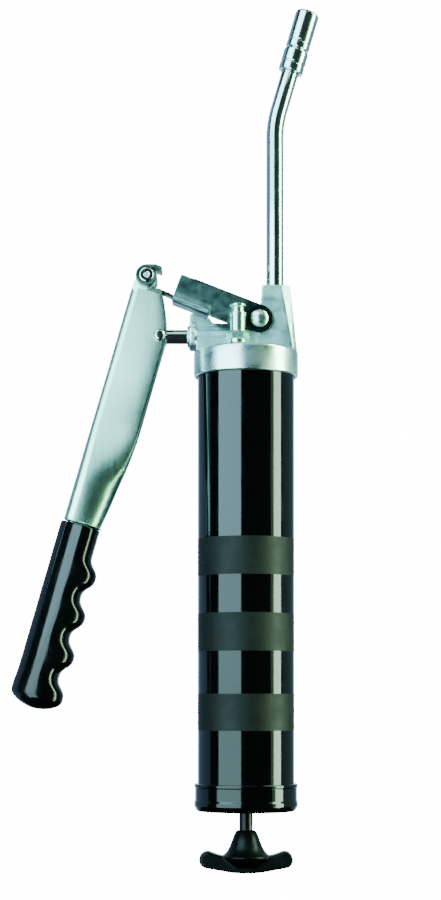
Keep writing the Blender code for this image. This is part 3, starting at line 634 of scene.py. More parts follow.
def black_plastic(name="black_plastic", shine=0.5, low=0.07, high=0.14):
    """Moulded black plastic, faintly wavy, with fine handling scratches."""
    made = Recipe(name, (0.0008, 0.001, 0.001), 0.2)
    made.cloudy(80, 3, (0.0007, 0.0009, 0.0009), (0.0018, 0.0023, 0.0024))
    scratch = made.spread(made.noise(700, 4, stretch=(1, 1, 0.15), turn=(0, 0.6, 0.4)), 0.0, 0.05)
    made.roughness(made.math("ADD", scratch, made.spread(made.noise(120, 4), low, high)))
    made.shader.inputs["Specular IOR Level"].default_value = shine
    made.bump(150, 3, 0.05, 0.25)
    return made.material


def simple_metal(name, first, second, low, high, grain_mm):
    """Turned or drawn metal of a small part."""
    made = Recipe(name, first, low, 1.0)
    made.cloudy(200, 4, first, second)
    made.roughness(made.spread(made.noise(500, 4), low, high))
    made.bump(1200, 3, grain_mm, 0.4)
    return made.material


def seal_rubber():
    made = Recipe("seal_rubber", (0.02, 0.02, 0.02), 0.65)
    made.cloudy(300, 4, (0.014, 0.014, 0.014), (0.032, 0.031, 0.030))
    made.roughness(made.spread(made.noise(400, 4), 0.55, 0.75))
    made.bump(900, 4, 0.04, 0.5)
    return made.material


# ---- barrel, cap, rod and handle

def build_barrel(satin):
    edges = sorted(edge for band in SATIN_BANDS for edge in band)
    bore = BARREL_R - BARREL_WALL
    outline = [(bore, BARREL_BOTTOM, 0.4), (BARREL_R, BARREL_BOTTOM, 0.4)]
    outline += [(BARREL_R, edge) for edge in edges]
    outline += [(BARREL_R, BARREL_TOP, 0.4), (bore, BARREL_TOP, 0.4)]
    tube = turned(outline, TURN_STEPS * 2)
    barrel = mesh_object("barrel_tube", tube, "root", ["grease_barrel"], "black_enamel")
    barrel.data.materials.append(satin)
    for face in barrel.data.polygons:
        outside = hypot(face.center.x, face.center.y) > (BARREL_R - 0.3) * MM
        if outside and any(low * MM < face.center.z < high * MM for low, high in SATIN_BANDS):
            face.material_index = 1
    inner = BARREL_R + GAP
    cap = turned([
        (CAP_BORE_R, CAP_BOTTOM, 0.3), (CAP_R - 1.2, CAP_BOTTOM, 1.6), (CAP_R, CAP_BOTTOM + 2.2, 1.2),
        (CAP_R + 0.5, CAP_BOTTOM + 3.4, 0.7), (CAP_R + 0.5, CAP_BOTTOM + 5.4, 0.7),
        (CAP_R, CAP_BOTTOM + 6.6, 0.8), (CAP_R, CAP_TOP - 2.3, 0.6),
        (CAP_R + 0.45, CAP_TOP - 1.7, 0.3), (CAP_R + 0.45, CAP_TOP, 0.5),
        (inner, CAP_TOP, 0.3), (inner, CAP_BOTTOM + CAP_FLOOR, 1.0),
        (CAP_BORE_R, CAP_BOTTOM + CAP_FLOOR, 0.3)], TURN_STEPS * 2)
    mesh_object("end_cap", cap, "root", ["barrel_end_cap"], "black_enamel")


def build_bush():
    base = -252.9
    bush = turned([
        (ROD_R + GAP, CAP_BOTTOM - 0.6, 0.4), (6.0, CAP_BOTTOM - 0.6, 0.5), (6.0, base - 0.1),
        (8.6, base - 0.1, 0.3), (8.6, base + 1.6, 0.5), (ROD_R + GAP, base + 1.6, 0.4)])
    mesh_object("guide_bush", bush, "root", ["rod_guide_bush"], "black_plastic")


def build_rod(paint, plastic):
    bottom = HANDLE_TOP - 14.5
    shaft = turned([
        (0, bottom), (ROD_R, bottom, 0.4), (ROD_R, ROD_GROOVE - 2.5), (ROD_R - 0.9, ROD_GROOVE - 2.0),
        (ROD_R - 0.9, ROD_GROOVE), (ROD_R, ROD_GROOVE + 0.5), (ROD_R, ROD_TOP, 0.5), (0, ROD_TOP)])
    mesh_object("rod_shaft", shaft, "handle", ["follower_rod"], "black_enamel", material=paint)
    pin = rod(1.5, -7.4, 7.4, 32, 0.3)
    mesh_object("handle_roll_pin", pin, "handle", ["handle_pin"], "spring_steel",
            shift(0, 0, HANDLE_TOP - 6) @ ACROSS)
    flare = softened([
        (6.3, HANDLE_TOP - 1.2), (7.6, -270.6), (9.0, -274.4), (10.6, -278.6), (14.6, -282.4)])
    hub = turned([(0, HANDLE_TOP), (5.6, HANDLE_TOP, 1.2)] + flare +
            [(9.0, HANDLE_BOTTOM + 4), (0, HANDLE_BOTTOM + 4)], 96)
    wings = prism(handle_outline(), -WING_HALF_DEPTH, WING_HALF_DEPTH, 3.0, 5)
    body = cast(joined(hub, wings), CAST_VOXEL, 14)
    socket = rod(ROD_R + GAP, HANDLE_TOP - 14.9, HANDLE_TOP + 2, 48)
    cross = placed(rod(1.8, -14, 14, 24), shift(0, 0, HANDLE_TOP - 6) @ ACROSS)
    body = carved(body, [socket, cross])
    mesh_object("handle_moulding", body, "handle", ["t_handle"], "black_plastic", sharp=50,
            material=plastic)


def handle_outline():
    """Front view of the handle's wings: raised rounded tips over a curved lower edge."""
    upper = softened([(-11.0, -282.6), (-14.2, -281.5), (-17.4, -280.8), (-21.3, -279.2)], 2)
    tip = arc((-22.6, -284.0), 5.0, 75, 250, 24)
    lower = []
    for i in range(25):
        x = -17 + 34 * i / 24
        lower.append((x, HANDLE_BOTTOM + 3.4 * (x / 22) ** 2))
    right_tip = [(-x, z) for x, z in reversed(tip)]
    right_upper = [(-x, z) for x, z in reversed(upper[:-1])]
    return upper[:-1] + tip + lower[1:-1] + right_tip + right_upper


# ---- pump head

def boss_section(height):
    """Six-sided plan of the outlet boss, which narrows towards the pipe."""
    rise = (OUTLET_TOP - height) / (OUTLET_TOP - OUTLET_BASE)
    half = HEAD_HALF_WIDTH
    left = 9.4 - 3.4 * rise
    ridge = 20.6 + 7.2 * rise
    right = 26.0 + 4.3 * rise
    corner = 4.4
    return [(left, -half, height), (ridge, -half, height), (right, -corner, height),
            (right, corner, height), (ridge, half, height), (left, half, height)]


def build_head():
    collar = turned([
        (0, 2), (COLLAR_R, 2), (COLLAR_R, COLLAR_HEIGHT, 1.4), (0, COLLAR_HEIGHT)], TURN_STEPS * 2)
    skirt = turned([(0, 0), (COLLAR_R, 0, 0.9), (COLLAR_R, 5), (0, 5)], TURN_STEPS * 2)
    pump = placed(rod(PUMP_R, PUMP_LEFT + 4, 20, 96), PUMP_PLACE)
    gland = placed(turned([(0, PUMP_LEFT), (PUMP_R + 0.4, PUMP_LEFT, 1.0),
            (PUMP_R + 0.4, PUMP_LEFT + 4.6, 0.8), (0, PUMP_LEFT + 4.6)], 96), PUMP_PLACE)
    web = box((PUMP_LEFT + 4.3, -PUMP_R + 0.4, 14), (18, PUMP_R - 0.4, PUMP_Z - 1.7))
    rib_half = HEAD_HALF_WIDTH + 0.3
    rib = box((PUMP_LEFT + 4.1, -rib_half, PUMP_Z - 0.8), (3, rib_half, PUMP_Z + 2.4))
    lug_outline = [(PUMP_LEFT + 0.3, 25), (PUMP_LEFT + 0.3, 35.8), (PUMP_LEFT + 1.6, 37.2),
            (-22.6, 33.8)]
    lug_outline += arc((-17.5, 34.6), 3.8, 180, 262, 16) + [(-17.5, 25)]
    lug = prism(lug_outline, -6.0, 6.0)
    pivot_outline = arc(HEAD_PIVOT, HEAD_HALF_WIDTH, -8, 188, 48) + [(-5.5, 14), (22, 14)]
    tower = prism(pivot_outline, -HEAD_HALF_WIDTH + 0.1, HEAD_HALF_WIDTH - 0.1)
    boss = loft([boss_section(OUTLET_BASE), boss_section(OUTLET_TOP)])
    pad_top = COLLAR_HEIGHT + 0.2
    vent_pad = placed(turned([(0, 12), (6.6, 12), (6.3, pad_top, 0.4), (0, pad_top)], 48),
            VENT_PLACE)
    toe = loft([[(-24, -5.2, 15), (-8, -5.2, 15), (-8, 5.2, 15), (-24, 5.2, 15)],
            [(-30, -4.0, 22), (-8, -4.0, 22), (-8, 4.0, 22), (-30, 4.0, 22)]])
    solids = joined(collar, skirt, pump, gland, web, rib, lug, tower, boss, vent_pad, toe)
    skin = cast(solids, CAST_VOXEL, 5)
    outlet = shift(OUTLET_X, 0, 0)
    bores = (
        # radius, low end, high end, sides, place
        (BARREL_R + GAP, -5, CAVITY_DEPTH, TURN_STEPS * 2, shift(0, 0, 0)),
        (6.6, PUMP_LEFT - 5, -20, 64, PUMP_PLACE),
        (4.5, -25, OUTLET_X, 64, PUMP_PLACE),
        (PIPE_R + GAP, PIPE_BOTTOM - GAP, OUTLET_TOP + 5, 64, outlet),
        (4.2, PUMP_Z, PIPE_BOTTOM, 48, outlet),
        (3.4, CAVITY_DEPTH - 2, COLLAR_HEIGHT + 5, 48, VENT_PLACE),
        (HEAD_PIN_R + 0.2, -20, 20, 48, pin_place(HEAD_PIVOT)))
    head = carved(skin, [placed(rod(*bore), at) for *bore, at in bores])
    mesh_object("head_casting", head, "root", ["pump_head"], "cast_aluminium", sharp=50)


def build_gland():
    nut = turned([
        (4.5, PUMP_LEFT - 1.0, 0.3), (6.3, PUMP_LEFT - 1.0, 0.5),
        (6.3, -27.7, 0.2), (4.5, -27.7, 0.2)], 64)
    nut = carved(nut, [box((-7.5, -0.9, PUMP_LEFT - 2), (7.5, 0.9, PUMP_LEFT - 0.1))])
    mesh_object("gland_ring", nut, "root", ["gland_nut"], "bright_plate", PUMP_PLACE)


def build_vent():
    body = turned([
        (2.2, 13.0, 0.2), (3.1, 13.0, 0.3), (3.1, COLLAR_HEIGHT + 1.4),
        (5.2, COLLAR_HEIGHT + 1.4, 0.3), (5.2, 23.0, 0.3), (4.45, 23.8, 0.4),
        (4.45, 32.4, 0.4), (4.8, 33.0, 0.2), (4.8, 34.6, 0.3),
        (3.9, 34.6, 0.2), (3.9, 26.0), (2.2, 26.0)], 64)
    hexagon = turned([
        (2.2, 18.6), (5.9, 18.6), (6.4, 19.1), (6.4, 22.5), (5.9, 23.0), (2.2, 23.0)], 6)
    mesh_object("vent_body", joined(body, hexagon), "root", ["vent_valve_body"], "bright_plate",
            VENT_PLACE)
    washer = turned([
        (3.4, COLLAR_HEIGHT + GAP, 0.1), (5.6, COLLAR_HEIGHT + GAP, 0.3),
        (5.6, COLLAR_HEIGHT + 1.1, 0.3), (3.4, COLLAR_HEIGHT + 1.1, 0.1)], 64)
    mesh_object("vent_seal_washer", washer, "root", ["vent_washer"], "brass", VENT_PLACE)
    stem = turned([
        (0, 10.4), (2.6, 10.4, 0.3), (2.6, 11.8), (1.8, 12.6), (1.8, 33.0), (3.6, 33.0, 0.3),
        (3.6, 37.6, 0.3), (4.8, 38.2, 0.3), (4.8, 39.5, 0.5), (2.4, 39.5, 0.3),
        (2.0, 38.9, 0.3), (0, 38.9)], 64)
    mesh_object("vent_stem_cap", stem, "vent_stem", ["vent_valve_stem"], "bright_plate", VENT_PLACE)


def build_springs():
    """The follower and vent springs at rest, each with a mesh of its own; on the gun they shorten as
    the follower or the stem comes down.
    """
    low = SPRING_BASE + FOLLOWER_WIRE
    high = SPRING_REST_TOP - FOLLOWER_WIRE
    coil = mesh_object("follower_coil", helix(FOLLOWER_COIL_R, FOLLOWER_WIRE, low, high, 13),
            "root", ["follower_spring"], "spring_steel")
    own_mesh(coil)
    coil = mesh_object("vent_coil",
            helix(2.8, 0.4, VENT_SPRING_LOW + 0.4, VENT_SPRING_HIGH - 0.4, 5), "root",
            ["vent_valve_spring"], "spring_steel", VENT_PLACE)
    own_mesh(coil)


# ---- toggle link and pins

def link_place():
    return shift(HEAD_PIVOT[0], 0, HEAD_PIVOT[1]) @ Matrix.Rotation(LINK_TILT, 4, "Y")


def sheet_ring(line, thickness, place_point, edge_steps=4):
    """Closed section of a folded sheet with rounded edges, from its outer line."""
    points = [Vector(p) for p in line]
    offsets = []
    for i, point in enumerate(points):
        run = (points[min(i + 1, len(points) - 1)] - points[max(i - 1, 0)]).normalized()
        offsets.append(point + Vector((-run.y, run.x)) * thickness)
    ring = list(points)
    ends = ((points[-1], offsets[-1], points[-2]), (offsets[0], points[0], offsets[1]))
    for outer, inner, before in ends:
        middle = (outer + inner) / 2
        out = (outer - before).normalized()
        side = outer - middle
        for k in range(1, edge_steps):
            angle = pi * k / edge_steps
            ring.append(middle + side * cos(angle) + out * (thickness / 2) * sin(angle))
        if outer is points[-1]:
            ring += offsets[::-1]
    return [place_point(p) for p in ring]


def eye_paths():
    """Middle lines of the tongue, of the rolled eye round the lever pivot, and of its tail."""
    left = -LINK_LENGTH
    web = -8.4 + LINK_SHEET / 2
    tongue = softened([
        (CHANNEL_START + 6 + left, web), (CHANNEL_START + 1.5 + left, -5.9),
        (CHANNEL_START - 1.5 + left, -4.7), (12 + left, -4.5), (7 + left, -4.9),
        (3 + left, -EYE_MID_R + 0.05)])
    leave = 90 + degrees(LINK_TILT)
    eye = arc((left, 0), EYE_MID_R, -90, leave - 360, 60)
    level = Vector((cos(LINK_TILT), sin(LINK_TILT)))
    top = Vector(eye[-1])
    droop = LINK_TILT - radians(22)
    tail = [top + level * 4.9, top + level * 6.2]
    tail.append(tail[-1] + Vector((cos(droop), sin(droop))) * 3.0)
    return tongue, eye, [tuple(point) for point in tail]


def build_link():
    half = LINK_HALF_WIDTH
    left = -LINK_LENGTH
    radius = 6.0
    line = [(half, 8.3), (half, 3.0)] + [
        (half - radius + radius * cos(radians(90 * i / 10)),
         -2.4 - radius * sin(radians(90 * i / 10))) for i in range(11)]
    line += [(-y, v) for y, v in reversed(line)]
    channel = []
    for along in (CHANNEL_START, CHANNEL_START + 0.8, CHANNEL_END - 0.8, CHANNEL_END):
        channel.append(sheet_ring(line, -LINK_SHEET, lambda p, u=along: (u + left, p.x, p.y)))
    parts = [loft(channel)]
    ear = arc((0, 0), 8.0, 88, -95, 48)
    for side, low in ((-1, -9.3), (1, -5.6)):
        lower = [(-14.0, low), (43.5 + left, low), (42.0 + left, low + 1.3), (41.2 + left, -2.2),
                (CHANNEL_START + 8 + left, -2.2), (CHANNEL_START + 8 + left, 8.2)]
        ends = sorted((side * (half - LINK_SHEET + 0.05), side * (half - 0.05)))
        parts.append(prism(ear + lower, ends[0], ends[1], 0.35))
    tongue, eye, tail = eye_paths()
    parts.append(prism(strip_outline(tongue + eye + tail, EYE_SHEET), -TONGUE_HALF_WIDTH,
            TONGUE_HALF_WIDTH, 0.3))
    wrap = arc((left, 0), EYE_MID_R, 12, -84, 24)
    for side in (-1, 1):
        ends = sorted((side * 6.95, side * (half - 0.1)))
        parts.append(prism(strip_outline(wrap + eye + tail[:2], EYE_SHEET), ends[0], ends[1], 0.3))
    parts.append(prism(strip_outline(tail, EYE_SHEET - 0.1), -half + 1.5, half - 1.5, 0.3))
    skin = cast(joined(*parts), SHEET_VOXEL, 3)
    hole = placed(rod(HEAD_PIN_R + 0.25, -20, 20, 48), FACING)
    skin = carved(skin, [hole])
    mesh_object("link_stamping", skin, "link", ["toggle_link"], "dark_plate", link_place(),
            sharp=50)


def build_pins(satin):
    front = LINK_HALF_WIDTH + GAP
    dome = arc((0, front - 4.9), 8.0, 38, 90, 16)
    pin = turned([(0, -13.4), (HEAD_PIN_R, -13.4, 0.5), (HEAD_PIN_R, front),
            (HEAD_PIN_HEAD_R, front, 0.3), (HEAD_PIN_HEAD_R, front + 0.8, 0.3),
            (HEAD_PIN_HEAD_R - 0.31, front + 1.0)] +
            [(max(r, 0), z) for r, z in dome if r < HEAD_PIN_HEAD_R - 0.3], 96)
    mesh_object("pivot_bolt", pin, "root", ["head_pivot_pin"], "chrome", pin_place(HEAD_PIVOT),
            material=satin)
    clip = turned([(3.3, -12.6, 0.2), (5.2, -12.6, 0.2), (5.2, -11.4, 0.2), (3.3, -11.4, 0.2)])
    clip = carved(clip, [box((-1.3, 2.0, -14), (1.3, 8, -10))])
    mesh_object("pivot_circlip", clip, "root", ["pivot_clip"], "spring_steel",
            pin_place(HEAD_PIVOT))
    tube = turned([
        (1.35, -11.6, 0.5), (LINK_PIN_R, -11.6, 0.6), (LINK_PIN_R, 11.6, 0.6),
        (1.35, 11.6, 0.5)], 80)
    mesh_object("link_tube_pin", tube, "link", ["link_pin"], "chrome", pin_place(LINK_PIVOT))
    rivet = turned([
        (0, -7.9), (2.6, -7.9, 0.3), (3.0, -7.5), (3.0, -6.9), (PLUNGER_PIN_R, -6.9),
        (PLUNGER_PIN_R, 6.9), (3.5, 6.9, 0.2), (3.5, 7.7, 0.5), (2.4, 8.6, 1.0), (0, 8.7)], 64)
    mesh_object("plunger_rivet", rivet, "lever", ["plunger_pin"], "chrome",
            pin_place(PLUNGER_PIVOT))


# ---- lever and grip

def lever_place():
    return shift(LINK_PIVOT[0], 0, LINK_PIVOT[1]) @ Matrix.Rotation(LEVER_TILT, 4, "Y")


def lever_edges(s):
    """Back edge, front edge and half width of the lever's channel at a distance s."""
    if s < LEVER_WIDE_S:
        front = 12.2 + 8.95 * sin(pi / 2 * (s - LEVER_START) / 29.4)
    else:
        front = LEVER_WIDE_T - 6.1 * max((s - 80) / 70, 0) ** 2.2
    half = 6.6 + 3.8 * blend(60, 135, s)
    hidden = blend(150.1, 150.8, s)
    back = LEVER_BACK_T + 2.0 * hidden
    front += (9.4 - front) * hidden
    half += (6.0 - half) * hidden
    return back, front, half


def lever_section(s):
    """Outer line of the lever's channel, whose cheeks roll in towards the grip."""
    back, front, half = lever_edges(s)
    rolling = blend(88, 126, s) * (1 - blend(149.2, 150.1, s))
    radius = 4.2 + 1.3 * rolling
    power = 7.0 - 5.6 * rolling
    steps = 28
    cheek = [(0.0, 0.0)]
    for i in range(steps):
        turn = radians(3 * rolling + (8 + 47 * rolling) * ((i + 0.5) / steps) ** power)
        cheek.append((cheek[-1][0] + cos(turn), cheek[-1][1] + sin(turn)))
    start = back + radius
    scale = (front - start - LEVER_SHEET * 0.3) / cheek[-1][0]
    points = [(start + t * scale, half - y * scale) for t, y in reversed(cheek)]
    points += arc((start, half - radius), radius, 90, 180, 12)[1:]
    return points + [(t, -y) for t, y in reversed(points)]


def build_lever(plate):
    stations = [LEVER_START + 2.0 * i for i in range(70)]
    stations += [147, 148.4, 149.2, 149.6, 150.1, 150.4, 150.8, 160, 180, LEVER_END]
    rings = []
    for s in stations:
        line = lever_section(s)
        rings.append(sheet_ring(line, LEVER_SHEET, lambda p, depth=s: (p.x, p.y, -depth)))
    channel = loft(rings)
    neck = arc((0, 0), NECK_R, 200, -45, 48)
    neck += [(4.6, -5.9), (10.1, -4.4), (12.3, -8.6), (12.3, -22), (-1.0, -22), (-1.6, -12.5),
            (LEVER_BACK_T + 0.4, -9)]
    top_hole = rod(LINK_PIN_R + 0.25, -20, 20, 48)
    offset = Vector((PLUNGER_PIVOT[0] - LINK_PIVOT[0], PLUNGER_PIVOT[1] - LINK_PIVOT[1]))
    across = offset.x * cos(LEVER_TILT) - offset.y * sin(LEVER_TILT)
    along = offset.x * sin(LEVER_TILT) + offset.y * cos(LEVER_TILT)
    low_hole = placed(rod(PLUNGER_PIN_R + 0.25, -20, 20, 40), shift(across, 0, along) @ FACING)
    channel = carved(channel, [low_hole], "EXACT")
    place = lever_place()
    mesh_object("lever_channel", channel, "lever", ["lever_arm"], "bright_plate", place,
            material=plate)
    for side, name in ((-1, "lever_neck_front"), (1, "lever_neck_rear")):
        ends = sorted((side * 4.85, side * 6.5))
        plate_mesh = prism(neck, ends[0], ends[1], 0.25)
        tool = placed(top_hole.copy(), FACING)
        mesh_object(name, carved(plate_mesh, [tool]), "lever", [], "bright_plate", place,
                material=plate)
    top_hole.free()


def grip_front(s):
    """Front edge of the grip with its four finger ridges."""
    first = FIRST_RIDGE_S
    last = FIRST_RIDGE_S + 3 * FINGER_PITCH
    base = GRIP_FRONT_T + 0.016 * max(s - first, 0)
    if s < first - FINGER_PITCH / 2:
        return base
    wave = cos(2 * pi * (min(s, last) - first) / FINGER_PITCH)
    return base + FINGER_DEPTH * (0.5 + 0.5 * wave * (1.25 - 0.25 * wave * wave))


def grip_ring(s, sides=112):
    """Section of the grip: rounded in front, flatter towards its back edge."""
    back = GRIP_BACK_T - 0.7 * blend(240, 252, s)
    front = grip_front(s)
    half = GRIP_HALF_WIDTH + 1.0 * blend(160, 240, s)
    shrink = GRIP_EASE
    if s > GRIP_ROUND_S:
        shrink *= max(1 - ((s - GRIP_ROUND_S) / (GRIP_END - GRIP_ROUND_S)) ** 2, 0.0004) ** 0.6
    if s < GRIP_START + 1.5:
        shrink *= 0.94 + 0.06 * sqrt(1 - ((GRIP_START + 1.5 - s) / 1.5) ** 2)
    centre = (back + front) / 2
    points = []
    for i in range(sides):
        angle = 2 * pi * i / sides
        c = cos(angle)
        n = sin(angle)
        if c > 0:
            t = GRIP_CREST_T + (front - GRIP_CREST_T) * c
            y = n
        else:
            t = GRIP_CREST_T - (GRIP_CREST_T - back) * abs(c) ** 1.33
            y = copysign(abs(n) ** 1.33, n)
        points.append((centre + (t - centre) * shrink, half * shrink * y, -s))
    return points


def build_grip():
    end = GRIP_END - GRIP_ROUND_S
    stations = [GRIP_START + 0.25 * i for i in range(8)]
    stations += [GRIP_START + 2 + 0.8 * i for i in range(126)]
    stations += [GRIP_ROUND_S + end * sin(pi / 2 * i / 20) for i in range(1, 21)]
    grip = loft([grip_ring(s) for s in stations])
    pocket = box((LEVER_BACK_T + 2.0 - GAP, -6.3, -LEVER_END - 1), (9.7, 6.3, -GRIP_START + 5))
    grip = carved(grip, [pocket])
    mesh_object("grip_moulding", grip, "lever", ["lever_grip"], "black_plastic", lever_place(),
            sharp=45)


# ---- plunger, spout and coupler

def build_plunger():
    reach = PLUNGER_TIP - PLUNGER_PIVOT[0]
    place = shift(PLUNGER_PIVOT[0], 0, PLUNGER_PIVOT[1])
    shaft = turned([(0, 3.0), (PLUNGER_R, 3.0, 0.8), (PLUNGER_R, reach, 0.6), (0, reach)], 72)
    shaft = placed(shaft, ACROSS)
    slot_half = 2.5
    wall = 1.7
    low = -4.2
    high = 6.1
    outline = filleted([
        (-slot_half - wall, low - wall, 3.0), (slot_half + wall - 0.1, low - wall, 1.6),
        (slot_half + wall - 0.1, high + wall, 1.6), (-slot_half - wall, high + wall, 3.0)], 8)
    eye = prism(outline, -3.9, 3.9, 0.4)
    slot = arc((0, high - slot_half), slot_half, 0, 180, 20)
    slot += arc((0, low + slot_half), slot_half, 180, 360, 20)
    eye = carved(eye, [prism(slot, -6, 6)])
    mesh_object("plunger_eye_head", joined(eye, shaft), "plunger", ["pump_plunger"], "chrome",
            place)


def spout_lengths():
    """Tangent of the spout's bend, the straight run below it and the bend itself."""
    tangent = BEND_RADIUS * tan(SPOUT_TILT / 2)
    return tangent, BEND_Z - tangent - PIPE_BOTTOM, BEND_RADIUS * SPOUT_TILT


def spout_point(distance):
    """Point and heading of the spout's centre line, distance measured up from its foot."""
    tangent, straight, bend = spout_lengths()
    if distance <= straight:
        return Vector((OUTLET_X, 0, PIPE_BOTTOM + distance)), 0.0
    if distance <= straight + bend:
        angle = (distance - straight) / BEND_RADIUS
        x = OUTLET_X + BEND_RADIUS * (1 - cos(angle))
        z = BEND_Z - tangent + BEND_RADIUS * sin(angle)
        return Vector((x, 0, z)), angle
    rest = distance - straight - bend + tangent
    heading = Vector((sin(SPOUT_TILT), 0, cos(SPOUT_TILT)))
    return Vector((OUTLET_X, 0, BEND_Z)) + heading * rest, SPOUT_TILT


def build_spout(bright):
    tangent, straight, bend = spout_lengths()
    total = straight + bend - tangent + COUPLER_START + 7.4
    bend_steps = 36
    marks = [0.6, straight] + [straight + bend * i / bend_steps for i in range(1, bend_steps + 1)]
    marks.append(total - 0.6)

    def tube_ring(distance, radius):
        centre, angle = spout_point(distance)
        side = Vector((cos(angle), 0, -sin(angle)))
        return circle(centre, side, Vector((0, 1, 0)), radius, 72)

    outside = [tube_ring(0, PIPE_R - 0.6), tube_ring(0.25, PIPE_R - 0.2)]
    outside += [tube_ring(d, PIPE_R) for d in marks]
    outside += [tube_ring(total - 0.2, PIPE_R - 0.2), tube_ring(total, PIPE_R - 0.6)]
    inside = [tube_ring(d, PIPE_BORE_R) for d in [total] + marks[::-1] + [0]]
    pipe = loft(outside + inside, closed=True)
    mesh_object("spout_tube", pipe, "root", ["spout_pipe"], "chrome", material=bright)


def build_coupler(bright):
    foot = (OUTLET_X + COUPLER_START * sin(SPOUT_TILT), 0, BEND_Z + COUPLER_START * cos(SPOUT_TILT))
    place = shift(*foot) @ Matrix.Rotation(SPOUT_TILT, 4, "Y")
    body = turned([
        (1.2, 8.0), (PIPE_R + GAP, 8.0), (PIPE_R + GAP, 0, 0.3), (7.35, 0, 0.9), (7.35, 4.2, 0.3),
        (7.0, 4.6, 0.2), (7.0, 5.4, 0.2), (7.35, 5.8, 0.3), (7.35, 12.9, 0.7), (5.2, 13.3, 0.3),
        (5.2, 20.0), (3.3, 20.0), (3.3, 10.0), (1.2, 10.0)], 96)
    mesh_object("coupler_foot", body, "root", ["coupler_body"], "chrome", place, material=bright)
    sleeve = turned([
        (5.5, 14.1, 0.2), (7.05, 14.1, 0.7), (7.05, 17.6, 0.2), (6.8, 17.9, 0.2), (6.8, 18.7, 0.2),
        (7.05, 19.0, 0.2), (7.05, COUPLER_LENGTH - 1.2, 0.6), (6.2, COUPLER_LENGTH, 0.3),
        (5.0, COUPLER_LENGTH, 0.3), (5.5, COUPLER_LENGTH - 2.1)], 96)
    mesh_object("coupler_outer_sleeve", sleeve, "root", ["coupler_sleeve"], "chrome", place,
            material=bright)
    for number in range(4):
        middle = 45 + 90 * number
        rings = []
        for w, inner, outer in JAW_SECTIONS:
            outline = arc((0, 0), outer, middle - 40, middle + 40, 16)
            outline += arc((0, 0), inner, middle + 38, middle - 38, 16)
            rings.append([(x, y, w) for x, y in outline])
        mesh_object(f"coupler_claw_{number + 1}", loft(rings), "root",
                [f"coupler_jaw_{number + 1}"], "spring_steel", place)


# ---- studio

def area_light(name, place, target, width, height, radiance, colour):
    light = bpy.data.lights.new(name, "AREA")
    light.shape = "RECTANGLE"
    light.size = width
    light.size_y = height
    light.energy = radiance * pi * width * height
    light.color = colour
    lamp = new_object(name, light)
    lamp.location = place
    lamp.rotation_euler = (Vector(target) - Vector(place)).to_track_quat("-Z", "Y").to_euler()
    lamp.visible_camera = False


def panel(name, degrees, distance, width, low, high, radiance, colour):
    """Upright soft box at an angle round the barrel."""
    angle = radians(degrees)
    middle = (low + high) / 2
    place = (sin(angle) * distance, -cos(angle) * distance, middle)
    area_light(name, place, (0, 0, middle), width, high - low, radiance, colour)


def build_studio():
    for row in PANELS:
        panel(*row)
    area_light("top_light", (0, -0.50, 0.74), (0, 0, 0), 0.7, 0.45, 1.4, (0.72, 1.0, 0.93))
    build_world()
    build_floor()


def build_world():
    """A dim room for the reflections, and a white backdrop for the camera alone."""
    world = bpy.data.worlds.new("studio")
    world.use_nodes = True
    nodes = world.node_tree.nodes
    link = world.node_tree.links.new
    background = nodes["Background"]
    background.inputs["Color"].default_value = DIM_WORLD
    background.inputs["Strength"].default_value = 1.0
    pale = nodes.new("ShaderNodeBackground")
    pale.inputs["Color"].default_value = (1.0, 1.0, 1.0, 1.0)
    pale.inputs["Strength"].default_value = PALE_STRENGTH
    path = nodes.new("ShaderNodeLightPath")
    choose = nodes.new("ShaderNodeMixShader")
    link(path.outputs["Is Camera Ray"], choose.inputs[0])
    link(background.outputs[0], choose.inputs[1])
    link(pale.outputs[0], choose.inputs[2])
    link(choose.outputs[0], nodes["World Output"].inputs["Surface"])
    bpy.context.scene.world = world


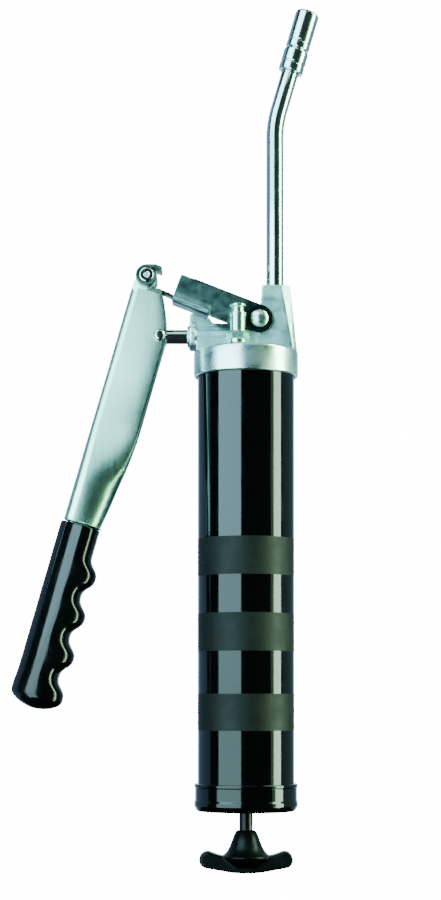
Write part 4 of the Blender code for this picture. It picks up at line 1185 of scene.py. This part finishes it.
def build_floor():
    """Plain pale disc, low enough for the handle when the rod is drawn."""
    mesh = bpy.data.meshes.new("floor")
    bm = bmesh.new()
    bmesh.ops.create_circle(bm, cap_ends=True, radius=FLOOR_R, segments=128)
    bm.to_mesh(mesh)
    bm.free()
    floor = new_object("floor", mesh)
    floor.location = (0, 0, FLOOR_Z)
    floor.visible_glossy = False
    floor.visible_diffuse = False
    made = Recipe("pale_floor", (0.86, 0.87, 0.87), 0.7)
    made.cloudy(3, 3, (0.87, 0.88, 0.88), (0.84, 0.85, 0.85))
    made.shader.inputs["Emission Color"].default_value = (1, 1, 1, 1)
    made.shader.inputs["Emission Strength"].default_value = FLOOR_GLOW
    mesh.materials.append(made.material)


def build_camera():
    data = bpy.data.cameras.new("camera")
    data.sensor_fit = "VERTICAL"
    data.sensor_height = 36
    data.sensor_width = 36
    data.lens = 76.88
    data.shift_y = 0.255
    data.shift_x = -0.0025
    data.clip_start = 0.05
    data.clip_end = 50
    camera = new_object("camera", data)
    camera.location = (-0.01368, -1.1320, -0.19184)
    camera.rotation_euler = (radians(90.694), 0, 0)
    bpy.context.scene.camera = camera


def dress_remaining(frame):
    """Give every CAD node that stays visible its procedural material."""
    slots = {row["node"]: row["material_slot"] for row in frame["record"]["subparts"]}
    for node, obj in frame["nodes"].items():
        if obj.hide_render:
            continue
        obj.data.materials.clear()
        obj.data.materials.append(LOOKS[slots[node]])


def main():
    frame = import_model()
    LOOKS.update({
        "cast_aluminium": cast_aluminium(),
        "black_enamel": black_enamel(),
        "black_plastic": black_plastic(),
        "bright_plate": bright_plate(),
        "dark_plate": dark_plate(),
        "chrome": chrome(),
        "spring_steel": simple_metal("spring_steel", (0.46, 0.47, 0.48), (0.34, 0.35, 0.36),
            0.24, 0.36, 0.02),
        "brass": simple_metal("brass", (0.80, 0.62, 0.30), (0.68, 0.50, 0.22), 0.22, 0.34, 0.02),
        "seal_rubber": seal_rubber(), })
    build_camera()
    build_studio()
    build_barrel(black_satin())
    build_bush()
    build_rod(black_plastic("rod_coat", 0.25, 0.22, 0.30),
            black_plastic("handle_plastic", 0.14, 0.26, 0.36))
    build_head()
    build_gland()
    build_vent()
    build_springs()
    build_link()
    satin = simple_metal("satin_steel", (0.66, 0.88, 0.84), (0.52, 0.74, 0.70), 0.22, 0.30, 0.004)
    build_pins(satin)
    build_lever(bright_plate("lever_plate", -LEVER_TILT))
    build_grip()
    build_plunger()
    worn = chrome("worn_chrome", 0.08)
    build_spout(worn)
    build_coupler(worn)
    dress_remaining(frame)


main()
